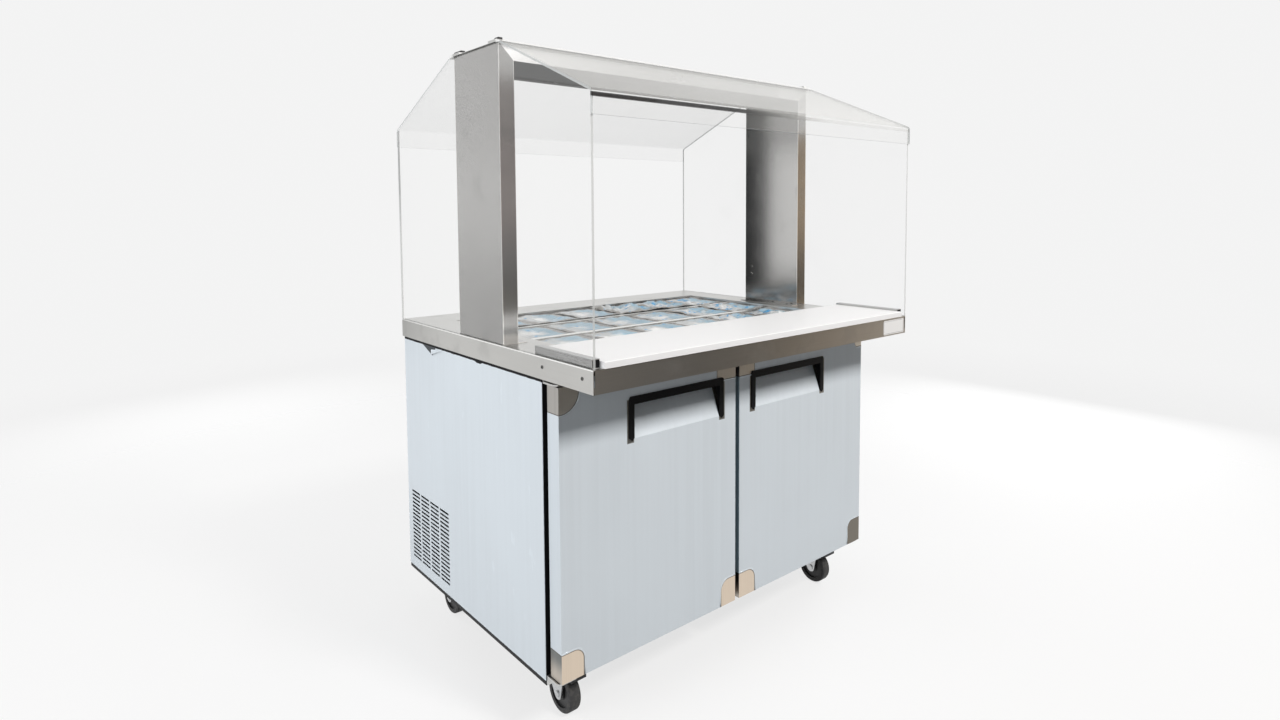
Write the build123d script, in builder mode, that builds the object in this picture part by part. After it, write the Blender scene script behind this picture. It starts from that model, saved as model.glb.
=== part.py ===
"""Refrigerated buffet table: pan-top worktop, sneeze guard, two-door cabinet and casters.

Millimetres. X runs to the right along the front, -Y is the front, +Z is up.
The origin is on the floor below the middle of the worktop.
"""
import os

from build123d import *

# Worktop: folded stainless sheet
worktop_width = 1200.0
worktop_depth = 1000.0
worktop_height = 915.0
worktop_sheet = 1.5
skirt_drop = 53.0
skirt_return = 16.0
corner_seam_width = 3.5
corner_seam_height = 36.0

# Food pans, their bars and the well that they hang in
pan_width = 161.0
pan_length = 175.0
pan_depth = 100.0
pan_sheet = 0.8
pan_rim = 8.0
pan_corner = 16.0
pan_taper = 4.0
pan_gap = 1.0
pan_field_land = 102.0
bar_rib_width = 20.0
bar_rib_rise = 4.0
bar_flange = 6.0
bar_height = 10.0
bar_end_gap = 0.5
well_recess = 12.0
well_end_room = 6.0
well_side_room = 11.0
well_seat = 6.0
well_floor_room = 18.0
well_sheet = 1.2
well_flange = 14.0
well_rear_ledge = 150.0

# Cutting board and the square rails at its ends
board_thickness = 15.0
board_rear_gap = 24.0
board_overhang = 4.0
board_edge_radius = 2.0
board_end_gap = 1.0
rail_size = 20.0
rail_wall = 1.5
rail_front_inset = 12.0
plug_cap = 1.0
plug_tail = 14.0
plug_gap = 0.1

# Sneeze guard: mitred box portal, clear end panels and bent canopies
end_panel_sheet = 6.0
canopy_sheet = 5.0
guard_gap = 0.2
column_depth = 236.0
column_thickness = 42.0
column_wall = 1.5
column_foot_width = 26.0
column_foot_sheet = 2.0
beam_top_above_worktop = 741.0
beam_cover_inset = 30.0
beam_cover_recess = 2.0
beam_cover_end_gap = 14.0
eave_above_worktop = 576.0
lip_height = 48.0
canopy_flange = 40.0
eave_bend_radius = 8.0
front_clip_length = 18.0
rear_clip_length = 40.0
clip_width = 12.0
clip_height = 5.5

# Round-head screws
screw_head_radius = 4.5
screw_head_height = 2.2
screw_crown_radius = 3.0
skirt_screw_drop = 24.0
skirt_screw_insets = (40.0, 197.0)
foot_screw_pitch = 85.0
column_screw_heights = (99.0, 125.0)
column_screw_rear_inset = 29.0

# Cabinet shell
worktop_side_overhang = 4.5
cabinet_rear_inset = 5.0
floor_clearance = 140.0
panel_sheet = 1.2
base_sheet = 2.0
base_flange = 12.0
frame_thickness = 12.0
mullion_width = 80.0
vent_slot_length = 57.0
vent_slot_height = 6.5
vent_pitch_along = 65.5
vent_pitch_up = 12.15
vent_columns = 4
vent_rows = 18
vent_rear_inset = 29.0
vent_bottom_inset = 31.0
back_vent_columns = 7
back_vent_rows = 12

# Insulated inside and the machine space behind it
liner_sheet = 1.0
liner_side_foam = 54.0
liner_floor_height = 190.0
liner_top_foam = 40.0
liner_back_foam = 44.0
machine_depth = 304.0
machine_height = 278.0
machine_foam = 40.0

# Doors
well_front_foam = 41.0
door_thickness = 46.0
door_gap = 16.0
door_side_inset = 6.5
door_top_gap = 13.0
door_bottom_rise = 15.0
door_sheet = 1.0
door_liner_sheet = 2.0
gasket_thickness = 12.0
gasket_width = 16.0
gasket_inset = 15.0
gasket_gap = 0.3

# Recessed door handles: a sloping scoop in the skin with a moulded trim
handle_inner_inset = 49.0
handle_length = 328.0
handle_drop = 54.0
handle_height = 110.0
handle_bar_height = 20.0
handle_leg_width = 15.0
handle_corner = 6.0
handle_tip = 7.0
handle_proud = 3.0
handle_wall = 3.0
scoop_depth = 37.0
scoop_side_margin = 3.0
scoop_top_margin = 5.0
scoop_bottom_margin = 5.0
scoop_gap = 0.3

# Door hinges
pin_radius = 5.0
pin_clearance = 0.05
pin_length = 16.0
hinge_side_inset = 12.0
hinge_back_inset = 20.0
hinge_boss_radius = 9.0
hinge_boss_depth = 18.0
hinge_gap = 2.0
bracket_sheet = 4.0
bracket_width = 58.0
bracket_reach = 52.0
bracket_leg = 26.0
bracket_corner = 12.0
bracket_side_inset = 2.0

# Shelves
shelf_height = 440.0
shelf_frame_radius = 3.0
shelf_wire_radius = 2.0
shelf_weld = 0.8
shelf_wires = 22
shelf_wall_gap = 4.0
shelf_middle_gap = 12.0
shelf_front_gap = 12.0
shelf_back_gap = 8.0
shelf_clip_length = 30.0
shelf_clip_depth = 14.0
shelf_clip_height = 10.0

# Condensing unit
condenser_depth = 240.0
condenser_height = 220.0
condenser_thickness = 50.0
condenser_wall_gap = 14.0
condenser_fin_pitch = 12.0
condenser_fin_groove = 5.0
condenser_fin_cut = 12.0
unit_rear_inset = 40.0
fan_radius = 95.0
fan_hub_radius = 22.0
fan_hub_length = 20.0
fan_blade_sheet = 2.5
fan_blade_width = 48.0
fan_blade_pitch = 28.0
fan_blades = 5
fan_gap = 14.0
motor_radius = 38.0
motor_length = 46.0
motor_shaft_radius = 4.0
motor_shaft_gap = 0.05
motor_gap = 4.0
motor_bracket_sheet = 3.0
motor_bracket_width = 70.0
motor_bracket_foot = 60.0
compressor_radius = 76.0
compressor_height = 175.0
compressor_edge = 28.0
compressor_plate_width = 190.0
compressor_plate_depth = 130.0
compressor_plate_sheet = 4.0
compressor_box = 46.0
compressor_gap = 150.0

# Evaporator in the top rear of the cabinet
housing_width = 520.0
housing_depth = 146.0
housing_step_gap = 43.0
housing_sheet = 1.2
housing_ceiling_gap = 4.0
coil_width = 440.0
coil_depth = 55.0
coil_end_gap = 33.0
coil_fin_pitch = 12.0
coil_fin_groove = 4.0
coil_fin_cut = 10.0
fan_mouth_margin = 44.0
evaporator_fan_gap = 8.0
evaporator_motor_radius = 30.0
evaporator_motor_length = 26.0
motor_bar_height = 24.0
motor_bar_sheet = 4.0
outlet_slot_length = 60.0
outlet_slot_height = 10.0
outlet_slots = 3
knob_radius = 16.0
knob_length = 16.0
knob_shaft_radius = 3.0
knob_shaft_gap = 0.05
knob_shaft_length = 12.0
knob_seat_gap = 0.3
knob_grip_width = 6.0
knob_grip_reach = 14.5
knob_side_inset = 60.0
knob_height_inset = 40.0

# Cord gland on the back panel
gland_radius = 13.0
gland_bore = 5.0
gland_nut_length = 10.0
gland_neck_radius = 9.0
gland_neck_length = 16.0
gland_side_inset = 130.0
gland_height = 110.0

# Casters
caster_side_inset = 90.0
caster_front_inset = 88.0
caster_rear_inset = 95.0
caster_plate_width = 84.0
caster_plate_length = 100.0
caster_plate_sheet = 4.0
caster_bolt_radius = 5.0
caster_bolt_head = 5.0
caster_bolt_inset = 12.0
race_radius = 30.0
race_height = 10.0
kingpin_radius = 6.0
kingpin_head_radius = 9.0
kingpin_head_height = 4.0
swivel_gap = 0.3
swivel_clearance = 0.05
fork_sheet = 4.0
fork_crown_length = 60.0
fork_trail = 32.0
fork_axle_boss = 14.0
wheel_radius = 50.0
wheel_width = 32.0
wheel_edge = 5.0
wheel_gap = 2.0
wheel_hub_recess = 5.0
wheel_hub_radius = 17.0
wheel_rim_radius = 36.0
axle_radius = 5.0
axle_clearance = 0.05
axle_head_radius = 8.0
axle_head_height = 3.0
pedal_pivot_ahead = 18.0
pedal_pivot_height = 106.0
pedal_pin_radius = 3.0
pedal_clearance = 0.05
pedal_barrel_radius = 6.0
pedal_boss_radius = 7.0
pedal_length = 44.0
pedal_sheet = 3.5
pedal_tread_length = 16.0
pedal_side_gap = 1.0

# Levels and planes that several pieces share
half_width = worktop_width / 2
half_depth = worktop_depth / 2
top_z = worktop_height
under_z = top_z - worktop_sheet
skirt_z = top_z - skirt_drop

pan_pitch = pan_width + pan_gap
pans_per_row = int((worktop_width - 2 * pan_field_land) // pan_pitch)
row_pitch = pan_length + pan_gap + bar_rib_width
ledge_z = top_z - well_recess - pan_sheet
well_half = pans_per_row * pan_pitch / 2 + well_end_room
well_rear = half_depth - well_rear_ledge
row_rear_y = well_rear - well_side_room - (pan_length + pan_gap) / 2
row_middle_y = row_rear_y - row_pitch
row_front_y = row_middle_y - row_pitch
well_front = row_front_y - (pan_length + pan_gap) / 2 - well_side_room
tub_half = well_half - well_end_room - well_seat
tub_rear = well_rear - well_side_room - well_seat
tub_front = well_front + well_side_room + well_seat
tub_floor_z = ledge_z - pan_depth - well_floor_room

portal_half = half_width - end_panel_sheet
beam_top_z = top_z + beam_top_above_worktop
eave_z = top_z + eave_above_worktop
column_half_depth = column_depth / 2
column_inner = portal_half - column_thickness

cabinet_half = half_width - worktop_side_overhang
shell_half = cabinet_half - panel_sheet
base_z = floor_clearance
base_top_z = base_z + base_sheet
cabinet_rear = half_depth - cabinet_rear_inset
shell_rear = cabinet_rear - panel_sheet

frame_back = well_front - well_front_foam
cabinet_front = frame_back - frame_thickness
door_back = cabinet_front - gasket_thickness
door_front = door_back - door_thickness
door_top_z = skirt_z - door_top_gap
door_bottom_z = base_z + door_bottom_rise
door_inner = door_gap / 2
door_outer = cabinet_half - door_side_inset

mullion_half = mullion_width / 2
liner_half = shell_half - liner_side_foam
liner_floor_z = liner_floor_height
liner_top_z = tub_floor_z - well_sheet - liner_top_foam
liner_rear = shell_rear - liner_back_foam
machine_front = shell_rear - machine_depth
machine_top_z = base_top_z + machine_height
liner_step_rear = machine_front - machine_foam
liner_step_z = machine_top_z + machine_foam

housing_height = liner_top_z - housing_ceiling_gap - liner_step_z - housing_step_gap
coil_height = housing_height - 2 * coil_end_gap
evaporator_fan_radius = housing_height / 2 - fan_mouth_margin

handle_inner = door_inner + handle_inner_inset
handle_outer = handle_inner + handle_length
handle_top_z = door_top_z - handle_drop
handle_bottom_z = handle_top_z - handle_height
scoop_inner = handle_inner + scoop_side_margin
scoop_outer = handle_outer - scoop_side_margin
scoop_top_z = handle_top_z - scoop_top_margin
scoop_bottom_z = handle_bottom_z + scoop_bottom_margin

hinge_x = door_outer - hinge_side_inset
hinge_y = door_back - hinge_back_inset

os.makedirs("parts", exist_ok=True)


def save(part, name):
    """Label a finished piece and write it."""
    part.label = name
    export_step(part, f"parts/{name}.step")


def block(corner, opposite, mode=Mode.ADD):
    """Box between two opposite corners, in the part that is being built."""
    sizes = [abs(b - a) for a, b in zip(corner, opposite)]
    middle = tuple((a + b) / 2 for a, b in zip(corner, opposite))
    with Locations(middle):
        Box(*sizes, mode=mode)


def prism(plane, points, length, mode=Mode.ADD):
    """Polygon on a plane, extruded along the plane's normal."""
    with BuildSketch(plane) as outline:
        with BuildLine():
            Polyline(*points, close=True)
        make_face()
    extrude(outline.sketch, amount=length, mode=mode)


def rod(start, direction, radius, length, mode=Mode.ADD):
    """Round bar from a point along a direction."""
    with Locations(Plane(origin=start, z_dir=direction)):
        Cylinder(radius, length, align=(Align.CENTER, Align.CENTER, Align.MIN), mode=mode)


# Worktop: the top plate, four skirts and a return lip under the front skirt
with BuildPart() as worktop:
    inner_half_width = half_width - worktop_sheet
    inner_half_depth = half_depth - worktop_sheet
    block((-half_width, -half_depth, skirt_z), (half_width, half_depth, top_z))
    block((-inner_half_width, -inner_half_depth, skirt_z), (inner_half_width, inner_half_depth, under_z),
          Mode.SUBTRACT)
    block((-inner_half_width, -inner_half_depth, skirt_z),
          (inner_half_width, -inner_half_depth + skirt_return, skirt_z + worktop_sheet))
    block((-well_half, well_front, under_z), (well_half, well_rear, top_z), Mode.SUBTRACT)
    for side in (-1, 1):
        block((side * inner_half_width, -half_depth, under_z - corner_seam_height),
              (side * (inner_half_width - corner_seam_width), -inner_half_depth, under_z), Mode.SUBTRACT)
save(worktop.part, "worktop")

# Pan well: a folded tub under the opening, with a ledge all round for the pan rims
with BuildPart() as pan_well:
    block((-well_half - well_flange, well_front - well_flange, under_z - well_sheet),
          (well_half + well_flange, well_rear + well_flange, under_z))
    block((-well_half - well_sheet, well_front - well_sheet, ledge_z - well_sheet),
          (well_half + well_sheet, well_rear + well_sheet, under_z))
    block((-tub_half - well_sheet, tub_front - well_sheet, tub_floor_z - well_sheet),
          (tub_half + well_sheet, tub_rear + well_sheet, ledge_z))
    block((-well_half, well_front, ledge_z), (well_half, well_rear, under_z), Mode.SUBTRACT)
    block((-tub_half, tub_front, tub_floor_z), (tub_half, tub_rear, ledge_z), Mode.SUBTRACT)
save(pan_well.part, "pan_well")

# Pan bars: a raised rib whose ends lie on the ledge, with a flange each side for the rims
with BuildPart() as pan_bars:
    for bar_y in ((row_rear_y + row_middle_y) / 2, (row_middle_y + row_front_y) / 2):
        rib_half = bar_rib_width / 2
        flange_half = rib_half + bar_flange
        rib_end = well_half - bar_end_gap
        body_end = tub_half - bar_end_gap
        block((-rib_end, bar_y - rib_half, ledge_z), (rib_end, bar_y + rib_half, ledge_z + bar_rib_rise))
        block((-body_end, bar_y - flange_half, ledge_z - bar_height), (body_end, bar_y + flange_half, ledge_z))
save(pan_bars.part, "pan_bars")

# One food pan, drawn from sheet with a flat rim and sloping walls
with BuildPart() as pan:
    with BuildSketch(Plane.XY.offset(ledge_z)):
        RectangleRounded(pan_width, pan_length, pan_corner)
    extrude(amount=pan_sheet)
    with BuildSketch(Plane.XY.offset(ledge_z)):
        RectangleRounded(pan_width - 2 * pan_rim, pan_length - 2 * pan_rim, pan_corner)
    extrude(amount=-pan_depth, taper=pan_taper)
    mouth_inset = 2 * (pan_rim + pan_sheet)
    with BuildSketch(Plane.XY.offset(ledge_z + pan_sheet)):
        RectangleRounded(pan_width - mouth_inset, pan_length - mouth_inset, pan_corner - pan_sheet)
    extrude(amount=-pan_depth, taper=pan_taper, mode=Mode.SUBTRACT)

# The three rows of pans
for row_name, row_y in (("pans_rear", row_rear_y), ("pans_middle", row_middle_y), ("pans_front", row_front_y)):
    with BuildPart() as pan_row:
        with Locations((0, row_y, 0)):
            with GridLocations(pan_pitch, pan_pitch, pans_per_row, 1):
                add(pan.part)
    save(pan_row.part, row_name)

# Cutting board between the end rails
board_half = portal_half - rail_size - board_end_gap
board_front = -half_depth - board_overhang
board_rear = well_front - board_rear_gap
with BuildPart() as cutting_board:
    block((-board_half, board_front, top_z), (board_half, board_rear, top_z + board_thickness))
    fillet(cutting_board.edges().filter_by(Axis.X).group_by(Axis.Z)[-1], board_edge_radius)
save(cutting_board.part, "cutting_board")

# Board rails: square tubes against the end panels
rail_front = -half_depth + rail_front_inset
with BuildPart() as board_rails:
    for side in (-1, 1):
        rail_x = side * (portal_half - rail_size / 2)
        with BuildSketch(Plane.XZ.offset(-rail_front)):
            with Locations((rail_x, top_z + rail_size / 2)):
                Rectangle(rail_size, rail_size)
                Rectangle(rail_size - 2 * rail_wall, rail_size - 2 * rail_wall, mode=Mode.SUBTRACT)
        extrude(amount=rail_front - board_rear)
save(board_rails.part, "board_rails")

# Rail plugs: moulded blocks pushed into the front of each rail
with BuildPart() as rail_plugs:
    plug_size = rail_size - 2 * (rail_wall + plug_gap)
    for side in (-1, 1):
        with BuildSketch(Plane.XZ.offset(-rail_front + plug_cap)):
            with Locations((side * (portal_half - rail_size / 2), top_z + rail_size / 2)):
                RectangleRounded(plug_size, plug_size, rail_wall)
        extrude(amount=-plug_cap - plug_tail)
save(rail_plugs.part, "rail_plugs")

# Portal columns: box tubes mitred at the top, with a screwed foot inside
for side, name in ((-1, "column_left"), (1, "column_right")):
    outer_x = side * portal_half
    inner_x = side * column_inner
    with BuildPart() as column:
        block((outer_x, -column_half_depth, top_z), (inner_x, column_half_depth, beam_top_z))
        block((outer_x - side * column_wall, -column_half_depth + column_wall, top_z),
              (inner_x + side * column_wall, column_half_depth - column_wall, beam_top_z), Mode.SUBTRACT)
        prism(Plane.XZ.offset(-column_half_depth),
              ((outer_x, beam_top_z), (inner_x, beam_top_z), (inner_x, beam_top_z - column_thickness)),
              column_depth, Mode.SUBTRACT)
        block((inner_x, -column_half_depth, top_z),
              (inner_x - side * column_foot_width, column_half_depth, top_z + column_foot_sheet))
    save(column.part, name)

# Top beam: the same tube across the top, with a recessed cover along its underside
with BuildPart() as top_beam:
    beam_under_z = beam_top_z - column_thickness
    cover_half = column_half_depth - beam_cover_inset
    cover_end = column_inner - beam_cover_end_gap
    block((-portal_half, -column_half_depth, beam_under_z), (portal_half, column_half_depth, beam_top_z))
    block((-portal_half, -column_half_depth + column_wall, beam_under_z + column_wall),
          (portal_half, column_half_depth - column_wall, beam_top_z - column_wall), Mode.SUBTRACT)
    block((-cover_end, -cover_half, beam_under_z), (cover_end, cover_half, beam_under_z + column_wall),
          Mode.SUBTRACT)
    block((-cover_end - column_wall, -cover_half - column_wall, beam_under_z + column_wall),
          (cover_end + column_wall, cover_half + column_wall, beam_under_z + beam_cover_recess + column_wall))
    for side in (-1, 1):
        outer_x = side * portal_half
        prism(Plane.XZ.offset(-column_half_depth),
              ((outer_x, beam_top_z), (outer_x, beam_under_z), (side * column_inner, beam_under_z)),
              column_depth, Mode.SUBTRACT)
save(top_beam.part, "top_beam")

# End panels: clear house-shaped sheets standing on the worktop's edge
for side, name in ((-1, "end_panel_left"), (1, "end_panel_right")):
    with BuildPart() as end_panel:
        edge_y = half_depth - guard_gap
        shoulder_z = eave_z - guard_gap
        ridge_z = beam_top_z - guard_gap
        prism(Plane.YZ.offset(side * half_width),
              ((-edge_y, top_z), (edge_y, top_z), (edge_y, shoulder_z), (column_half_depth, ridge_z),
               (-column_half_depth, ridge_z), (-edge_y, shoulder_z)), -side * end_panel_sheet)
        shoulders = end_panel.edges().filter_by(Axis.X).filter_by(
            lambda edge: abs(edge.center().Z - shoulder_z) < guard_gap)
        fillet(shoulders, eave_bend_radius)
    save(end_panel.part, name)

# Canopies: bent clear sheets from the beam's top to the eaves, with a turned-down lip
for side, name in ((-1, "canopy_front"), (1, "canopy_rear")):
    with BuildPart() as canopy:
        with BuildSketch(Plane.YZ):
            with BuildLine():
                ridge = (side * column_half_depth, beam_top_z)
                eave = (side * half_depth, eave_z)
                Line((side * (column_half_depth - canopy_flange), beam_top_z), ridge)
                FilletPolyline(ridge, eave, (side * half_depth, eave_z - lip_height), radius=eave_bend_radius)
                offset(amount=canopy_sheet, side=Side.RIGHT if side < 0 else Side.LEFT)
            make_face()
        extrude(amount=half_width, both=True)
    save(canopy.part, name)

# Guard clips: moulded clips that hold the canopy flanges at the beam's ends
with BuildPart() as guard_clips:
    clip_z = beam_top_z + canopy_sheet
    for side in (-1, 1):
        for end, clip_length in ((-1, front_clip_length), (1, rear_clip_length)):
            clip_y = end * column_half_depth
            block((side * portal_half, clip_y, clip_z),
                  (side * (portal_half - clip_width), clip_y - end * clip_length, clip_z + clip_height))
    fillet(guard_clips.edges().group_by(Axis.Z)[-1], clip_height / 4)
save(guard_clips.part, "guard_clips")


def screw_head(seat, direction):
    """Domed screw head sitting on a face."""
    with Locations(Plane(origin=seat, z_dir=direction)):
        Cone(screw_head_radius, screw_crown_radius, screw_head_height,
             align=(Align.CENTER, Align.CENTER, Align.MIN))


# Screws on the skirts, the column feet and the columns' inner faces
with BuildPart() as screws:
    for side in (-1, 1):
        for inset in skirt_screw_insets:
            screw_head((side * half_width, -half_depth + inset, top_z - skirt_screw_drop), (side, 0, 0))
        foot_x = side * (column_inner - column_foot_width / 2)
        for step in (-1, 0, 1):
            screw_head((foot_x, step * foot_screw_pitch, top_z + column_foot_sheet), (0, 0, 1))
        for height in column_screw_heights:
            screw_head((side * column_inner, column_half_depth - column_screw_rear_inset, top_z + height),
                       (-side, 0, 0))
save(screws.part, "screws")

# Side panels: flat sheets, the left one with a grille in front of the condenser
vent_length = (vent_columns - 1) * vent_pitch_along + vent_slot_length
vent_rise = (vent_rows - 1) * vent_pitch_up + vent_slot_height
vent_y = cabinet_rear - vent_rear_inset - vent_length / 2
vent_z = base_z + vent_bottom_inset + vent_rise / 2
for side, name in ((-1, "side_panel_left"), (1, "side_panel_right")):
    with BuildPart() as side_panel:
        block((side * cabinet_half, cabinet_front, base_z), (side * shell_half, cabinet_rear, under_z))
        if side < 0:
            with BuildSketch(Plane.YZ.offset(-cabinet_half)):
                with Locations((vent_y, vent_z)):
                    with GridLocations(vent_pitch_along, vent_pitch_up, vent_columns, vent_rows):
                        Rectangle(vent_slot_length, vent_slot_height)
            extrude(amount=panel_sheet, mode=Mode.SUBTRACT)
    save(side_panel.part, name)

# Back panel with air slots into the machine space and a hole for the cord gland
gland_x = shell_half - gland_side_inset
gland_z = base_z + gland_height
with BuildPart() as back_panel:
    block((-shell_half, shell_rear, base_z), (shell_half, cabinet_rear, under_z))
    with BuildSketch(Plane.XZ.offset(-shell_rear)):
        with Locations((0, vent_z)):
            with GridLocations(vent_pitch_along, vent_pitch_up, back_vent_columns, back_vent_rows):
                Rectangle(vent_slot_length, vent_slot_height)
        with Locations((gland_x, gland_z)):
            Circle(gland_neck_radius)
    extrude(amount=-panel_sheet, mode=Mode.SUBTRACT)
save(back_panel.part, "back_panel")

# Base pan: the floor sheet with a flange turned down all round
with BuildPart() as base_pan:
    block((-shell_half, cabinet_front, base_z - base_flange), (shell_half, shell_rear, base_top_z))
    block((-shell_half + base_sheet, cabinet_front + base_sheet, base_z - base_flange),
          (shell_half - base_sheet, shell_rear - base_sheet, base_z), Mode.SUBTRACT)
save(base_pan.part, "base_pan")

# Front frame: the face that the gaskets close on, with the mullion between the doors
with BuildPart() as front_frame:
    block((-shell_half, cabinet_front, base_top_z), (shell_half, frame_back, under_z))
    for side in (-1, 1):
        block((side * mullion_half, cabinet_front, liner_floor_z), (side * liner_half, frame_back, liner_top_z),
              Mode.SUBTRACT)
save(front_frame.part, "front_frame")

# Cabinet liner: the inside box, stepped over the machine space
with BuildPart() as cabinet_liner:
    liner_out = liner_half + liner_sheet
    block((-liner_out, frame_back, liner_floor_z - liner_sheet),
          (liner_out, liner_step_rear + liner_sheet, liner_top_z + liner_sheet))
    block((-liner_out, frame_back, liner_step_z - liner_sheet),
          (liner_out, liner_rear + liner_sheet, liner_top_z + liner_sheet))
    block((-liner_half, frame_back, liner_floor_z), (liner_half, liner_step_rear, liner_top_z), Mode.SUBTRACT)
    block((-liner_half, frame_back, liner_step_z), (liner_half, liner_rear, liner_top_z), Mode.SUBTRACT)
save(cabinet_liner.part, "cabinet_liner")

# Cabinet foam between the outer panels, the liner, the well and the machine space
with BuildPart() as cabinet_foam:
    block((-shell_half, frame_back, base_top_z), (shell_half, shell_rear, under_z))
    block((-shell_half, machine_front, base_top_z), (shell_half, shell_rear, machine_top_z), Mode.SUBTRACT)
    block((-liner_out, frame_back, liner_floor_z - liner_sheet),
          (liner_out, liner_step_rear + liner_sheet, liner_top_z + liner_sheet), Mode.SUBTRACT)
    block((-liner_out, frame_back, liner_step_z - liner_sheet),
          (liner_out, liner_rear + liner_sheet, liner_top_z + liner_sheet), Mode.SUBTRACT)
    block((-well_half - well_flange, well_front - well_flange, under_z - well_sheet),
          (well_half + well_flange, well_rear + well_flange, under_z), Mode.SUBTRACT)
    block((-well_half - well_sheet, well_front - well_sheet, ledge_z - well_sheet),
          (well_half + well_sheet, well_rear + well_sheet, under_z), Mode.SUBTRACT)
    block((-tub_half - well_sheet, tub_front - well_sheet, tub_floor_z - well_sheet),
          (tub_half + well_sheet, tub_rear + well_sheet, ledge_z), Mode.SUBTRACT)
save(cabinet_foam.part, "cabinet_foam")

# Wire shelves, one behind each door
shelf_front = frame_back + shelf_front_gap
shelf_rear = liner_step_rear - shelf_back_gap
shelf_inner = shelf_middle_gap / 2
shelf_outer = liner_half - shelf_wall_gap
for side, name in ((-1, "shelf_left"), (1, "shelf_right")):
    with BuildPart() as shelf:
        span = shelf_outer - shelf_inner
        depth = shelf_rear - shelf_front
        near_x = side * shelf_inner
        for wire_y in (shelf_front, shelf_rear):
            rod((near_x, wire_y, shelf_height), (side, 0, 0), shelf_frame_radius, span)
        wire_z = shelf_height + shelf_frame_radius + shelf_wire_radius - shelf_weld
        wire_front = shelf_front - shelf_wire_radius
        for number in range(shelf_wires):
            wire_x = near_x + side * span * (number + 0.5) / shelf_wires
            rod((wire_x, wire_front, wire_z), (0, 1, 0), shelf_wire_radius, depth + 2 * shelf_wire_radius)
    save(shelf.part, name)

# Shelf clips on the side walls, the mullion and the back wall
with BuildPart() as shelf_clips:
    clip_top = shelf_height - shelf_frame_radius
    clip_bottom = clip_top - shelf_clip_height
    half_clip = shelf_clip_length / 2
    for side in (-1, 1):
        for clip_y in (shelf_front + shelf_clip_length, shelf_rear - shelf_clip_length):
            block((side * liner_half, clip_y - half_clip, clip_bottom),
                  (side * (liner_half - shelf_clip_depth), clip_y + half_clip, clip_top))
    block((-half_clip, frame_back, clip_bottom), (half_clip, shelf_front + shelf_frame_radius, clip_top))
    block((-half_clip, shelf_rear - shelf_frame_radius, clip_bottom), (half_clip, liner_step_rear, clip_top))
save(shelf_clips.part, "shelf_clips")


def scoop(side, grow, mode):
    """Sloping finger scoop in a door, deepest at its top, grown by the skin's sheet where asked."""
    low_x = min(side * scoop_inner, side * scoop_outer) - grow
    with BuildSketch(Plane.YZ.offset(low_x)) as profile:
        with BuildLine():
            Polyline((door_front, scoop_bottom_z), (door_front + scoop_depth, scoop_top_z),
                     (door_front, scoop_top_z), close=True)
        make_face()
        if grow:
            offset(amount=grow, kind=Kind.INTERSECTION)
    extrude(profile.sketch, amount=scoop_outer - scoop_inner + 2 * grow, mode=mode)


def hinge_sleeve(side, radius, mode):
    """Upright cylinders at a door's top and bottom hinge corners."""
    rod((side * hinge_x, hinge_y, door_top_z), (0, 0, -1), radius, hinge_boss_depth, mode)
    rod((side * hinge_x, hinge_y, door_bottom_z), (0, 0, 1), radius, hinge_boss_depth, mode)


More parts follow.
